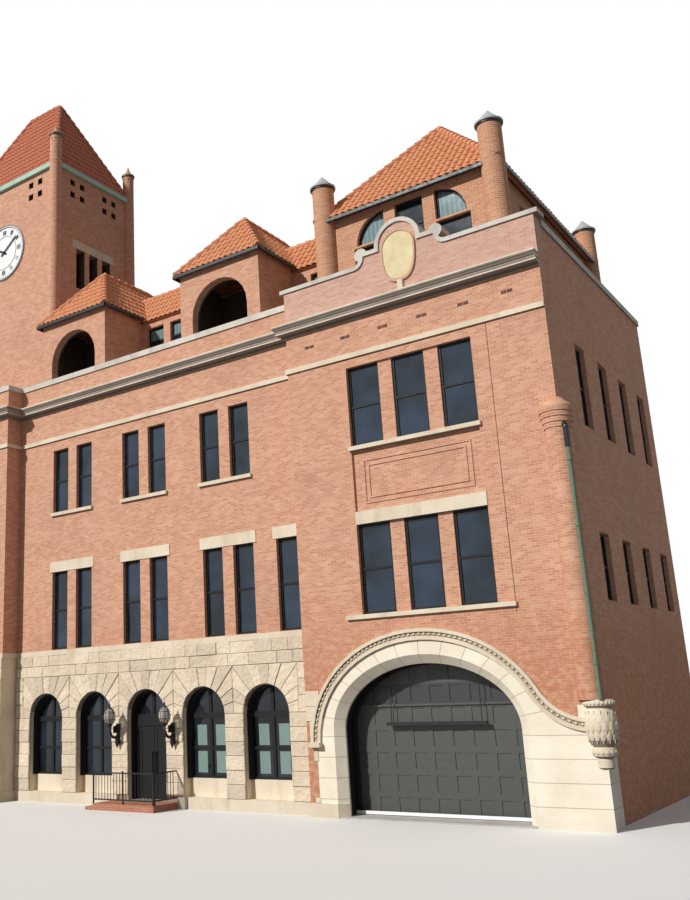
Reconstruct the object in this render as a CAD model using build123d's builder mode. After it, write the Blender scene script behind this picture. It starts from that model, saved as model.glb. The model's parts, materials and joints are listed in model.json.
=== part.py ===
import os
from math import atan2, copysign, cos, degrees, hypot, radians, sin

from build123d import *

os.makedirs("parts", exist_ok=True)

# Streetcar barn: a tower block, a five-bay wing and an end pavilion in one row.
# Millimetres, +Z up, +X along the street front to the right, -Y towards the street.
# The origin is on the ground, midway along the front and midway through the depth.

# Plan
tower_width = 6600
wing_length = 12860
pavilion_width = 8140
building_depth = 10000
pavilion_projection = 350
tower_projection = 700
stone_wall = 600
masonry_joint = 2
brick_wall = 450

left = -(tower_width + wing_length + pavilion_width) / 2
tower_right = left + tower_width
wing_right = tower_right + wing_length
right = wing_right + pavilion_width
wing_front = -building_depth / 2
pavilion_front = wing_front - pavilion_projection
tower_front = wing_front - tower_projection
back = building_depth / 2
tower_middle = (left + tower_right) / 2
wing_middle = (tower_right + wing_right) / 2
triple_from_corner = 4100
gable_from_corner = 4050
pavilion_middle = right - triple_from_corner
gable_middle = right - gable_from_corner
plaque_middle = gable_middle

# Storeys
plinth_height = 350
plinth_projection = 60
threshold_height = 200
stone_storey_top = 4990
belt_height = 180
belt_projection = 40
brick_foot = stone_storey_top + belt_height
floor_thickness = 300
second_floor_drop = 290
second_storey_height = 4900
third_storey_height = 4550
second_floor_top = stone_storey_top - second_floor_drop
third_floor_top = second_floor_top + second_storey_height
cornice_foot = third_floor_top + third_storey_height
cornice_height = 420
cornice_projection = 330
cornice_top = cornice_foot + cornice_height
string_drop = 1160
string_height = 150
string_projection = 60
string_foot = cornice_foot - string_drop
deck_rise = 350
roof_deck_top = cornice_foot + deck_rise
wing_parapet_height = 740
pavilion_parapet_height = 1130
side_parapet_height = 930
wing_parapet_top = cornice_top + wing_parapet_height
pavilion_parapet_top = cornice_top + pavilion_parapet_height
side_parapet_top = cornice_top + side_parapet_height
coping_height = 200
coping_overhang = 50

# Arched ground-floor bays
bay_pitch = 2400
arch_width = 1670
arch_spring = 2820
apron_top = 900
arch_sides = 24
apron_setback = 280
frame_setback = 330
tower_bay_pitch = 2600
door_head_margin = 250

# Upper windows: wing pairs, the single one beside the pavilion, and the pavilion's triples
pair_pitch = 3560
pair_spacing = 1230
wing_window_width = 800
wing_second_margin = 20
wing_second_height = 2800
wing_third_margin = 600
wing_third_height = 2420
wing_second_foot = brick_foot + wing_second_margin
wing_second_head = wing_second_foot + wing_second_height
wing_third_foot = third_floor_top + wing_third_margin
wing_third_head = wing_third_foot + wing_third_height
single_window_from_corner = 590
triple_pitch = 1465
pavilion_window_width = 1030
pavilion_second_margin = 250
pavilion_second_height = 2550
pavilion_third_margin = 670
pavilion_third_height = 2440
pavilion_second_foot = brick_foot + pavilion_second_margin
pavilion_second_head = pavilion_second_foot + pavilion_second_height
pavilion_third_foot = third_floor_top + pavilion_third_margin
pavilion_third_head = pavilion_third_foot + pavilion_third_height
pavilion_recess = 80
lintel_height = 370
lintel_bearing = 110
lintel_projection = 25
sill_height = 120
sill_bearing = 60
sill_projection = 90
long_sill_bearing = 500

# Side and rear windows
side_window_width = 850
side_window_first = 2330
side_window_pitch = 2150
side_window_count = 4
side_second_margin = 720
side_second_height = 1830
side_third_margin = 600
side_third_height = 2400
side_second_foot = second_floor_top + side_second_margin
side_second_head = side_second_foot + side_second_height
side_third_foot = third_floor_top + side_third_margin
side_third_head = side_third_foot + side_third_height
rear_column_count = 9
rear_pitch = 3000

# Sashes
frame_width = 70
frame_depth = 80
mullion_width = 110
pane_setback = 35
transom_height = 170
transom_foot = 2700
glass_thickness = 10
window_setback = 130

# Garage arch
garage_from_corner = 4475
garage_middle = right - garage_from_corner
garage_half_width = 2775
garage_spring = 2300
garage_reveal = 750
surround_half_width = 3350
surround_spring = 2000
surround_crown_drop = 210
arch_ring_depth = 530
surround_rise = stone_storey_top - surround_crown_drop - surround_spring
garage_rise = surround_spring + surround_rise - arch_ring_depth - garage_spring
garage_stations = 48
surround_turn = 25
pier_overrun = 120
pier_shoulder = 2380
shoulder_from_corner = 200
shoulder_block_width = 430
shoulder_block_top = 2850
label_width = 300
label_projection = 100
label_roll = 90
label_stations = 24
label_corbel_width = 360
label_corbel_height = 130
label_corbel_projection = 180

# Garage door
garage_frame_width = 370
garage_frame_bearing = 120
garage_frame_depth = 140
garage_door_lap = 100
garage_door_thickness = 60
garage_section_count = 7
garage_panel_columns = 9
garage_panel_between = 190
garage_panel_margin = 170
garage_panel_depth = 20
garage_ledge_sections = 5
garage_ledge_height = 50
ledge_fraction = 0.82
garage_ledge_depth = 60
garage_floor_thickness = 40
clearance_bar_height = 2440
clearance_bar_length = 2930
clearance_bar_radius = 45
clearance_hanger = 20

# Entrance
door_head = 2490
leaf_thickness = 50
leaf_gap = 10
meeting_gap = 14
hinge_radius = 12
knuckle_sides = 12
hinge_standoff = 18
hinge_plate = 60
hinge_knuckle = 60
hinge_inset = 250
leaf_stile = 110
leaf_rail_top = 900
leaf_panel_depth = 15
door_side_post = 160
pull_length = 700
pull_radius = 16
pull_offset = 60
landing_width = 2600
landing_depth = 1200
step_going = 320
lantern_reach = 500
lantern_foot = 2600
lantern_radius = 180
lantern_height = 180
lantern_cap_height = 320
lantern_sides = 8
lantern_rim_radius = 200
lantern_cup_radius = 70
lantern_tip_radius = 15
lantern_stem = 250
lantern_arm = 36
lantern_plate_depth = 20
lantern_plate_half_width = 60
lantern_plate_reach = 150
railing_height = 950
railing_low = 150
railing_post = 40
baluster_width = 16
baluster_pitch = 130

# Corner shaft over the console
shaft_radius = 330
shaft_inset_x = 80
shaft_inset_y = 80
console_top = 2960
shaft_sides = 14
shaft_corbel_foot = 9650
shaft_corbel_top = 10210
shaft_cap_top = 10480
corbel_radius = 430
corbel_courses = 4
downspout_radius = 50
downspout_top = 9600
downspout_gap = 10
downspout_sides = 8
downspout_bracket = 20
bracket_height = 60
bracket_count = 4

# Curved gable
gable_half_width = 1500
gable_rise = 1130
gable_hollow = 340
gable_shoulder_rise = 370
gable_head_radius = 620
hollow_stations = 4
head_stations = 8
gable_coping_thickness = 130
gable_scroll_radius = 210
gable_scroll_height = 440
gable_scroll_from_end = 270
scroll_sides = 16
plaque_width = 1120
plaque_rise = 370
plaque_height = 1650
plaque_fullness = 2.7
plaque_stations = 32
plaque_projection = 60
plaque_rim = 60
plaque_sinking = 30

# Roof rooms
attic_setback = 2100
attic_depth = 4400
attic_overhang = 100
attic_wall = 300
attic_wall_height = 3150
attic_roof_height = 1550
attic_eaves = roof_deck_top + attic_wall_height
attic_ridge = attic_eaves + attic_roof_height
attic_slope_run = 1250
loggia_width = 3400
loggia_arch_width = 2350
loggia_arch_rise = 590
loggia_wall_height = 3350
loggia_roof_height = 2280
loggia_arch_spring = wing_parapet_top + coping_height + loggia_arch_rise
loggia_eaves = roof_deck_top + loggia_wall_height
loggia_ridge = loggia_eaves + loggia_roof_height
loggia_overhang = 130
loggia_depth = 6500
loggia_wall = 390
roof_shell = 180
penthouse_from_corner = 4120
penthouse_x = right - penthouse_from_corner
penthouse_half_width = 2880
penthouse_setback = 600
penthouse_depth = 8950
penthouse_wall_height = 3650
penthouse_roof_height = 3950
penthouse_eaves = roof_deck_top + penthouse_wall_height
penthouse_ridge = penthouse_eaves + penthouse_roof_height
penthouse_hip_run = 3530
penthouse_overhang = 230
quarter_window_radius = 1000
quarter_window_rise = 2500
quarter_window_spring = roof_deck_top + quarter_window_rise
quarter_window_from_middle = 860
attic_sill_rise = 1850
attic_sill = roof_deck_top + attic_sill_rise
attic_window_width = 850
attic_window_rise = 1800
attic_window_height = 1100
attic_window_foot = roof_deck_top + attic_window_rise
attic_window_head = attic_window_foot + attic_window_height
attic_window_middles = (-1950, -770, 410, 5650)
loggia_door_width = 900
loggia_door_height = 2200
loggia_door_head = roof_deck_top + loggia_door_height
quarter_windows_offset = 20
quarter_light_width = 1100
quarter_light_gap = 70
square_window_width = 940
square_window_height = 1650
square_window_head = attic_sill + square_window_height
penthouse_window_height = 1250
penthouse_window_head = attic_sill + penthouse_window_height
penthouse_side_columns = 3
turret_radius = 355
turret_height = 4900
turret_top = roof_deck_top + turret_height
turret_sides = 14
turret_cap_height = 370
cap_overhang = 45
cap_sides = 10
cap_lip = 60
cap_taper = 0.93

# Tower
tower_setback = 1620
tower_depth = 4660
tower_wall = 400
tower_wall_height = 11800
tower_top = roof_deck_top + tower_wall_height
tower_cornice_height = 220
tower_cornice_projection = 140
tower_roof_height = 5150
tower_ridge = tower_top + tower_roof_height
tower_turret_radius = 260
tower_turret_rise = 1400
tower_turret_height = 11880
tower_turret_foot = roof_deck_top + tower_turret_rise
tower_turret_top = tower_turret_foot + tower_turret_height
tower_cap_height = 390
tower_ridge_length = 2000
tower_lintel_reach = 1275
dial_thickness = 60
dial_rim = 90
dial_radius = 1330
dial_sides = 48
dial_drop = 3170
dial_height = tower_top - dial_drop
tower_window_width = 520
tower_window_drop = 3520
tower_window_height = 1880
tower_window_head = tower_top - tower_window_drop
tower_window_foot = tower_window_head - tower_window_height
tower_window_pitch = 800
square_hole = 290
square_hole_pitch = 590
square_hole_drop = 700
square_hole_height = tower_top - square_hole_drop
square_holes_from_middle = 2000
side_holes_from_middle = 1010


def front_plane(y):
    return Plane(origin=(0, y, 0), x_dir=(1, 0, 0), z_dir=(0, -1, 0))


def side_plane(x):
    return Plane(origin=(x, 0, 0), x_dir=(0, 1, 0), z_dir=(1, 0, 0))


# A rectangle of a wall's elevation, from edge to edge and from foot to head
def span(first, last, foot, head, mode=Mode.ADD):
    with Locations(((first + last) / 2, (foot + head) / 2)):
        Rectangle(last - first, head - foot, mode=mode)


# A round-headed opening of a wall's elevation
def arched(middle, width, foot, spring, mode=Mode.ADD):
    span(middle - width / 2, middle + width / 2, foot, spring, mode)
    with Locations((middle, spring)):
        RegularPolygon(width / 2, arch_sides, mode=mode)


# A closed figure of straight facets
def figure(corners):
    with BuildSketch() as shape:
        with BuildLine():
            Polyline(*corners, close=True)
        make_face()
    return shape.sketch


# A turned form on an upright axis, from its outline of radii and heights
def turned(outline, x, y, sides):
    with BuildPart() as form:
        for (lower, foot), (upper, head) in zip(outline, outline[1:]):
            if head > foot:
                narrowing = (lower - upper) * cos(radians(180 / sides))
                with BuildSketch(Plane.XY.offset(foot)):
                    with Locations((x, y)):
                        RegularPolygon(lower, sides)
                extrude(amount=head - foot, taper=degrees(atan2(narrowing, head - foot)))
    return form.part


# A straight block from corner to corner
def block(x, y, z, mode=Mode.ADD):
    with Locations(((x[0] + x[1]) / 2, (y[0] + y[1]) / 2, (z[0] + z[1]) / 2)):
        Box(x[1] - x[0], y[1] - y[0], z[1] - z[0], mode=mode)


def write(piece, name):
    piece.part.label = name
    export_step(piece.part, f"parts/{name}.step")


# Window places on the upper storeys of the front: middle, width, foot, head
def wing_windows(foot, head):
    places = []
    for pair in (-1, 0, 1):
        for side in (-0.5, 0.5):
            middle = wing_middle + pair * pair_pitch + side * pair_spacing
            places.append((middle, wing_window_width, foot, head))
    return places


def tower_block_windows(foot, head):
    places = []
    for side in (-0.5, 0.5):
        places.append((tower_middle + side * pair_spacing, wing_window_width, foot, head))
    return places


def pavilion_windows(foot, head):
    places = []
    for column in (-1, 0, 1):
        middle = pavilion_middle + column * triple_pitch
        places.append((middle, pavilion_window_width, foot, head))
    return places


single_window = (
    wing_right - single_window_from_corner,
    wing_window_width,
    wing_second_foot,
    wing_second_head,
)
wing_second = wing_windows(wing_second_foot, wing_second_head) + [single_window]
wing_third = wing_windows(wing_third_foot, wing_third_head)
tower_second = tower_block_windows(wing_second_foot, wing_second_head)
tower_third = tower_block_windows(wing_third_foot, wing_third_head)
pavilion_second = pavilion_windows(pavilion_second_foot, pavilion_second_head)
pavilion_third = pavilion_windows(pavilion_third_foot, pavilion_third_head)

side_windows = []
for column in range(side_window_count):
    middle = wing_front + side_window_first + column * side_window_pitch
    side_windows.append((middle, side_window_width, side_second_foot, side_second_head))
    side_windows.append((middle, side_window_width, side_third_foot, side_third_head))

rear_windows = []
for column in range(rear_column_count):
    middle = (column - (rear_column_count - 1) / 2) * rear_pitch
    rear_windows.append((middle, side_window_width, side_second_foot, side_second_head))
    rear_windows.append((middle, side_window_width, side_third_foot, side_third_head))

# Stone lintels and sills lie in their walls: first edge, last edge, foot, head
pair_reach = (pair_spacing + wing_window_width) / 2
pair_middles = [wing_middle + pair * pair_pitch for pair in (-1, 0, 1)]
triple_reach = triple_pitch + pavilion_window_width / 2

wing_lintels = []
for middle in pair_middles:
    reach = pair_reach + lintel_bearing
    lintel = (middle - reach, middle + reach, wing_second_head, wing_second_head + lintel_height)
    wing_lintels.append(lintel)
single_reach = wing_window_width / 2 + lintel_bearing
wing_lintels.append(
    (
        single_window[0] - single_reach,
        single_window[0] + single_reach,
        wing_second_head,
        wing_second_head + lintel_height,
    )
)
tower_lintels = [
    (
        tower_middle - pair_reach - lintel_bearing,
        tower_middle + pair_reach + lintel_bearing,
        wing_second_head,
        wing_second_head + lintel_height,
    )
]
pavilion_lintels = [
    (
        pavilion_middle - triple_reach,
        pavilion_middle + triple_reach,
        pavilion_second_head,
        pavilion_second_head + lintel_height,
    )
]
wing_sills = []
for middle in pair_middles:
    reach = pair_reach + sill_bearing
    wing_sills.append((middle - reach, middle + reach, wing_third_foot - sill_height, wing_third_foot))
tower_sills = [
    (
        tower_middle - pair_reach - sill_bearing,
        tower_middle + pair_reach + sill_bearing,
        wing_third_foot - sill_height,
        wing_third_foot,
    )
]
pavilion_sills = [
    (
        pavilion_middle - triple_reach - long_sill_bearing,
        pavilion_middle + triple_reach + long_sill_bearing,
        pavilion_second_foot - sill_height,
        pavilion_second_foot,
    ),
    (
        pavilion_middle - triple_reach - sill_bearing,
        pavilion_middle + triple_reach + sill_bearing,
        pavilion_third_foot - sill_height,
        pavilion_third_foot,
    ),
]

bay_middles = [wing_middle + bay * bay_pitch for bay in (-2, -1, 0, 1, 2)]
door_middle = bay_middles[2]
door_left = door_middle - arch_width / 2
door_right = door_middle + arch_width / 2
tower_bays = [tower_middle - tower_bay_pitch / 2, tower_middle + tower_bay_pitch / 2]


def cut_windows(places):
    for middle, width, foot, head in places:
        span(middle - width / 2, middle + width / 2, foot, head, Mode.SUBTRACT)


def cut_bands(bands):
    for first, last, foot, head in bands:
        span(first, last, foot, head, Mode.SUBTRACT)


# Stone ground storey, split beside and over the entrance
with BuildPart() as front_wall_left:
    with BuildSketch(front_plane(wing_front)):
        span(tower_right, door_left, 0, stone_storey_top)
        span(door_left - door_head_margin, door_left, arch_spring, stone_storey_top, Mode.SUBTRACT)
        for middle in bay_middles[:2]:
            arched(middle, arch_width, plinth_height, arch_spring, Mode.SUBTRACT)
    extrude(amount=-stone_wall)
write(front_wall_left, "front_wall_left")

with BuildPart() as front_wall_right:
    with BuildSketch(front_plane(wing_front)):
        span(door_right, wing_right, 0, stone_storey_top)
        span(door_right, door_right + door_head_margin, arch_spring, stone_storey_top, Mode.SUBTRACT)
        for middle in bay_middles[3:]:
            arched(middle, arch_width, plinth_height, arch_spring, Mode.SUBTRACT)
    extrude(amount=-stone_wall)
write(front_wall_right, "front_wall_right")

with BuildPart() as wall_over_door:
    with BuildSketch(front_plane(wing_front)):
        span(door_left - door_head_margin, door_right + door_head_margin, arch_spring, stone_storey_top)
        with Locations((door_middle, arch_spring)):
            RegularPolygon(arch_width / 2, arch_sides, mode=Mode.SUBTRACT)
    extrude(amount=-stone_wall)
write(wall_over_door, "wall_over_door")

with BuildPart() as tower_base_wall:
    with BuildSketch(front_plane(tower_front)):
        span(left, tower_right, 0, stone_storey_top)
        for middle in tower_bays:
            arched(middle, arch_width, plinth_height, arch_spring, Mode.SUBTRACT)
    extrude(amount=-stone_wall)
    block(
        (tower_right - stone_wall, tower_right),
        (tower_front + stone_wall + masonry_joint, wing_front + stone_wall),
        (0, stone_storey_top),
    )
write(tower_base_wall, "tower_base_wall")

# Aprons close the foot of each arched window, set back from the wall's face
with BuildPart() as window_aprons:
    for middle in bay_middles[:2] + bay_middles[3:]:
        block(
            (middle - arch_width / 2, middle + arch_width / 2),
            (wing_front + apron_setback, wing_front + stone_wall),
            (plinth_height, apron_top),
        )
    for middle in tower_bays:
        block(
            (middle - arch_width / 2, middle + arch_width / 2),
            (tower_front + apron_setback, tower_front + stone_wall),
            (plinth_height, apron_top),
        )
write(window_aprons, "window_aprons")

# Plinth course, proud of the stone walls
landing_left = door_middle - landing_width / 2
landing_right = door_middle + landing_width / 2
with BuildPart() as stone_plinth:
    plinth = (0, plinth_height)
    plinth_end = tower_right + plinth_projection
    block((left, plinth_end), (tower_front - plinth_projection, tower_front), plinth)
    block(
        (tower_right, tower_right + plinth_projection),
        (tower_front + masonry_joint, wing_front),
        plinth,
    )
    block(
        (tower_right + plinth_projection + masonry_joint, landing_left),
        (wing_front - plinth_projection, wing_front),
        plinth,
    )
    block((landing_right, wing_right), (wing_front - plinth_projection, wing_front), plinth)
write(stone_plinth, "stone_plinth")


# Garage arch: the line shared by the stone surround, the brick round it and the label moulding,
# from the left foot over the crown to the shoulder, with its direction at each station
def surround_stations():
    with BuildLine():
        arc = EllipticalCenterArc(
            (garage_middle, surround_spring),
            surround_half_width,
            surround_rise,
            start_angle=surround_turn,
            arc_size=180 - surround_turn,
        )
        shoulder = (right - shoulder_from_corner, pier_shoulder)
        reverse = TangentArc([arc @ 0, shoulder], tangent=(arc % 0) * -1)
    stations = []
    for station in range(label_stations):
        along = 1 - station / label_stations
        stations.append((arc @ along, (arc % along) * -1))
    for station in range(label_stations // 2):
        along = 2 * station / label_stations
        stations.append((reverse @ along, reverse % along))
    for x in (right - shoulder_from_corner, right + pier_overrun):
        stations.append((Vector(x, pier_shoulder), Vector(1, 0)))
    return stations


surround_line = surround_stations()


# The surround's line, drawn out by a distance
def surround_points(distance):
    return [(spot.X - distance * way.Y, spot.Y + distance * way.X) for spot, way in surround_line]


def surround_face():
    corners = surround_points(0)
    corners.append((right + pier_overrun, 0))
    corners.append((garage_middle - surround_half_width, 0))
    with BuildSketch() as shape:
        add(figure(corners))
        block_left = right - shoulder_block_width
        span(block_left, right + pier_overrun, pier_shoulder - label_roll, shoulder_block_top)
    return shape.sketch


# A band that follows the surround's line between two distances from it
def label_band(outer, inner):
    return figure(surround_points(outer) + surround_points(inner)[::-1])


# The garage opening, drawn in by a margin on both sides and at the crown
def garage_opening(margin, mode):
    half_width = garage_half_width - margin
    span(garage_middle - half_width, garage_middle + half_width, 0, garage_spring, mode)
    corners = []
    for station in range(garage_stations):
        turn = radians(360 * station / garage_stations)
        rise = (garage_rise - margin) * sin(turn)
        corners.append((garage_middle + half_width * cos(turn), garage_spring + rise))
    add(figure(corners), mode=mode)


with BuildPart() as garage_arch:
    with BuildSketch(front_plane(pavilion_front)):
        add(surround_face())
        garage_opening(0, Mode.SUBTRACT)
    extrude(amount=-garage_reveal)
write(garage_arch, "garage_arch")

# Label moulding: stepped bands that sweep over the arch and out to the console
with BuildPart() as arch_label:
    for outer, inner, projection in (
        (label_width / 2, -label_width / 2, label_projection * 0.4),
        (label_width / 2, label_width / 2 - label_roll, label_projection),
        (label_roll - label_width / 2, -label_width / 2, label_projection * 0.7),
    ):
        with BuildSketch(front_plane(pavilion_front)):
            add(label_band(outer, inner))
        extrude(amount=projection)
    block(
        (
            garage_middle - surround_half_width - label_corbel_width / 2,
            garage_middle - surround_half_width + label_corbel_width / 2,
        ),
        (pavilion_front - label_corbel_projection, pavilion_front),
        (surround_spring - label_corbel_height, surround_spring),
    )
write(arch_label, "arch_label_moulding")

# Brick walls of the pavilion: round the arch, and over it up to the cornice
with BuildPart() as pavilion_base_wall:
    with BuildSketch(front_plane(pavilion_front)):
        span(wing_right, right, 0, stone_storey_top)
        add(surround_face(), mode=Mode.SUBTRACT)
    extrude(amount=-brick_wall)
write(pavilion_base_wall, "pavilion_base_wall")

with BuildPart() as pavilion_wall:
    with BuildSketch(front_plane(pavilion_front)):
        span(wing_right, right, stone_storey_top, cornice_top)
        cut_windows(pavilion_second + pavilion_third)
        cut_bands(pavilion_lintels + pavilion_sills)
    extrude(amount=-brick_wall)
    block(
        (pavilion_middle - triple_reach, pavilion_middle + triple_reach),
        (pavilion_front, pavilion_front + pavilion_recess),
        (pavilion_second_foot, pavilion_third_head),
        Mode.SUBTRACT,
    )
write(pavilion_wall, "pavilion_wall")

with BuildPart() as wing_upper_wall:
    with BuildSketch(front_plane(wing_front)):
        span(tower_right, wing_right, brick_foot, wing_parapet_top)
        cut_windows(wing_second + wing_third)
        cut_bands(wing_lintels + wing_sills)
    extrude(amount=-brick_wall)
write(wing_upper_wall, "wing_upper_wall")

with BuildPart() as tower_block_wall:
    with BuildSketch(front_plane(tower_front)):
        span(left, tower_right, brick_foot, wing_parapet_top)
        cut_windows(tower_second + tower_third)
        cut_bands(tower_lintels + tower_sills)
    extrude(amount=-brick_wall)
    block(
        (tower_right - brick_wall, tower_right),
        (tower_front + brick_wall + masonry_joint, wing_front + brick_wall),
        (brick_foot, wing_parapet_top),
    )
write(tower_block_wall, "tower_block_upper_wall")

coping_inner = brick_wall + coping_overhang
tower_shaft_front = wing_front + tower_setback
tower_shaft_back = tower_shaft_front + tower_depth
tower_shaft_middle = (tower_shaft_front + tower_shaft_back) / 2

with BuildPart() as side_wall_right:
    with BuildSketch(side_plane(right)):
        span(pavilion_front + brick_wall, back - brick_wall, 0, side_parapet_top)
        cut_windows(side_windows)
    extrude(amount=-brick_wall)
    add(garage_arch.part, mode=Mode.SUBTRACT)
write(side_wall_right, "side_wall_right")

with BuildPart() as side_wall_left:
    with BuildSketch(side_plane(left)):
        span(tower_front + stone_wall, back - brick_wall, 0, brick_foot)
        span(tower_front + brick_wall, back - brick_wall, brick_foot, side_parapet_top)
        span(tower_shaft_front, tower_shaft_back, roof_deck_top, side_parapet_top, Mode.SUBTRACT)
        span(tower_front, tower_front + coping_inner, wing_parapet_top, side_parapet_top, Mode.SUBTRACT)
        cut_windows(side_windows)
    extrude(amount=brick_wall)
write(side_wall_left, "side_wall_left")

with BuildPart() as rear_wall:
    with BuildSketch(front_plane(back)):
        span(left, right, 0, side_parapet_top)
        cut_windows(rear_windows)
    extrude(amount=brick_wall)
write(rear_wall, "rear_wall")

# Stone courses and cornice
front_line = [
    (left, tower_front),
    (tower_right, tower_front),
    (tower_right, wing_front),
    (wing_right, wing_front),
    (wing_right, pavilion_front),
    (right, pavilion_front),
]


# A course along the whole street front: its profile in parts of its projection and height
def front_course(profile, foot, projection, height):
    with BuildPart() as course:
        with BuildLine(Plane.XY.offset(foot)) as course_path:
            Polyline(*front_line)
        with BuildSketch(side_plane(left)):
            with BuildLine():
                corners = [(tower_front - out * projection, foot + up * height) for out, up in profile]
                Polyline(*corners, close=True)
            make_face()
        sweep(path=course_path.line, transition=Transition.RIGHT)
        level = (foot, foot + height)
        tower_end = tower_right + projection
        wing_end = wing_right - projection
        wing_reach = (wing_front - projection, wing_front)
        for x, y in (
            ((tower_right, tower_end), (tower_front, tower_front + masonry_joint)),
            ((tower_end, tower_end + masonry_joint), wing_reach),
            ((wing_end - masonry_joint, wing_end), wing_reach),
            ((wing_end, wing_right), (pavilion_front, pavilion_front + masonry_joint)),
        ):
            block(x, y, level, Mode.SUBTRACT)
    return course


string_profile = [(0, 0), (1, 0), (1, 1), (0, 1)]
string_course = front_course(string_profile, string_foot, string_projection, string_height)
with BuildPart() as stone_courses:
    belt = (stone_storey_top, brick_foot)
    belt_end = tower_right + belt_projection
    block((left, belt_end), (tower_front - belt_projection, tower_front + brick_wall), belt)
    block(
        (tower_right - brick_wall, belt_end),
        (tower_front + brick_wall + masonry_joint, wing_front + brick_wall),
        belt,
    )
    block(
        (belt_end + masonry_joint, wing_right),
        (wing_front - belt_projection, wing_front + brick_wall),
        belt,
    )
    add(string_course.part)
write(stone_courses, "stone_courses")

cornice_profile = [
    (0, 0),
    (0.25, 0.05),
    (0.4, 0.25),
    (0.75, 0.3),
    (0.75, 0.6),
    (0.85, 0.62),
    (1, 0.8),
    (1, 1),
    (0, 1),
]
main_cornice = front_course(cornice_profile, cornice_foot, cornice_projection, cornice_height)
write(main_cornice, "main_cornice")

# Parapet coping on the tower block, the wing, the sides and the rear
with BuildPart() as parapet_coping:
    front_coping = (wing_parapet_top, wing_parapet_top + coping_height)
    side_coping = (side_parapet_top, side_parapet_top + coping_height)
    block(
        (left - coping_overhang, tower_right + coping_overhang),
        (tower_front - coping_overhang, tower_front + coping_inner),
        front_coping,
    )
    block(
        (tower_right - coping_inner, tower_right + coping_overhang),
        (tower_front + coping_inner, wing_front + coping_inner),
        front_coping,
    )
    block(
        (tower_right + coping_overhang, wing_right),
        (wing_front - coping_overhang, wing_front + coping_inner),
        front_coping,
    )
    block(
        (right - coping_inner, right + coping_overhang),
        (pavilion_front + coping_inner, back - coping_inner),
        side_coping,
    )
    block(
        (left - coping_overhang, right + coping_overhang),
        (back - coping_inner, back + coping_overhang),
        side_coping,
    )
    block(
        (left - coping_overhang, left + coping_inner),
        (tower_front + coping_inner, tower_shaft_front),
        side_coping,
    )
    block(
        (left - coping_overhang, left + coping_inner),
        (tower_shaft_back, back - coping_inner),
        side_coping,
    )
write(parapet_coping, "parapet_coping")


# Curved gable over the pavilion, from right to left: hollow, shoulder and round head, drawn out by a margin
def gable_outline(margin):
    top = pavilion_parapet_top
    hollow = gable_hollow - margin
    head = gable_head_radius + margin
    half = []
    for station in range(hollow_stations + 1):
        turn = radians(90 * station / hollow_stations)
        half.append((gable_half_width - hollow * sin(turn), top + gable_hollow - hollow * cos(turn)))
    half.append((gable_half_width - hollow, top + gable_shoulder_rise + margin))
    half.append((head, top + gable_shoulder_rise + margin))
    for station in range(head_stations + 1):
        turn = radians(90 * station / head_stations)
        half.append((head * cos(turn), top + gable_rise - gable_head_radius + head * sin(turn)))
    outline = [(gable_middle + x, z) for x, z in half]
    for x, z in reversed(half[:-1]):
        outline.append((gable_middle - x, z))
    return outline


# The whole face from a foot up to the outline, with an overhang at both ends
def gable_face(foot, margin, overhang):
    top = pavilion_parapet_top + margin
    corners = [(wing_right - overhang, foot), (right + overhang, foot), (right + overhang, top)]
    return figure(corners + gable_outline(margin) + [(wing_right - overhang, top)])


with BuildPart() as pavilion_gable:
    with BuildSketch(front_plane(pavilion_front)):
        add(gable_face(cornice_top, 0, 0))
    extrude(amount=-brick_wall)
write(pavilion_gable, "pavilion_gable")

with BuildPart() as gable_coping:
    with BuildSketch(front_plane(pavilion_front - coping_overhang)):
        add(gable_face(pavilion_parapet_top, gable_coping_thickness, gable_coping_thickness))
        for side in (-1, 1):
            scroll_x = gable_middle + side * (gable_half_width - gable_scroll_from_end)
            with Locations((scroll_x, pavilion_parapet_top + gable_scroll_height)):
                RegularPolygon(gable_scroll_radius, scroll_sides)
        add(gable_face(cornice_top, 0, 2 * gable_coping_thickness), mode=Mode.SUBTRACT)
    extrude(amount=-(brick_wall + 2 * coping_overhang))
write(gable_coping, "gable_coping")


# The plaque: a round head over a fuller, rounded foot
def plaque_face(margin):
    half_width = plaque_width / 2 - margin
    foot = cornice_top + plaque_rise
    spring = foot + plaque_height - plaque_width / 2
    drop = spring - foot - margin
    corners = []
    for station in range(plaque_stations):
        turn = radians(360 * station / plaque_stations)
        if sin(turn) >= 0:
            corners.append((plaque_middle + half_width * cos(turn), spring + half_width * sin(turn)))
        else:
            across = copysign(abs(cos(turn)) ** (2 / plaque_fullness), cos(turn))
            down = abs(sin(turn)) ** (2 / plaque_fullness)
            corners.append((plaque_middle + half_width * across, spring - drop * down))
    return figure(corners)


with BuildPart() as gable_plaque:
    with BuildSketch(front_plane(pavilion_front)):
        add(plaque_face(0))
    extrude(amount=plaque_projection)
    with BuildSketch(front_plane(pavilion_front - plaque_projection)):
        add(plaque_face(plaque_rim))
    extrude(amount=-plaque_sinking, mode=Mode.SUBTRACT)
write(gable_plaque, "gable_plaque")

# Stone console on the corner, the brick shaft over it and its downspout
shaft_x = right - shaft_inset_x
shaft_y = pavilion_front + shaft_inset_y
console_outline = [
    (180, 1550),
    (240, 1580),
    (250, 1800),
    (335, 1830),
    (335, 1980),
    (280, 2010),
    (310, 2300),
    (325, 2500),
    (290, 2780),
    (355, 2820),
    (355, console_top),
]
with BuildPart() as corner_console:
    add(turned(console_outline, shaft_x, shaft_y, shaft_sides))
    add(garage_arch.part, mode=Mode.SUBTRACT)
    add(arch_label.part, mode=Mode.SUBTRACT)
    add(pavilion_base_wall.part, mode=Mode.SUBTRACT)
    add(side_wall_right.part, mode=Mode.SUBTRACT)
write(corner_console, "corner_console")

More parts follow.
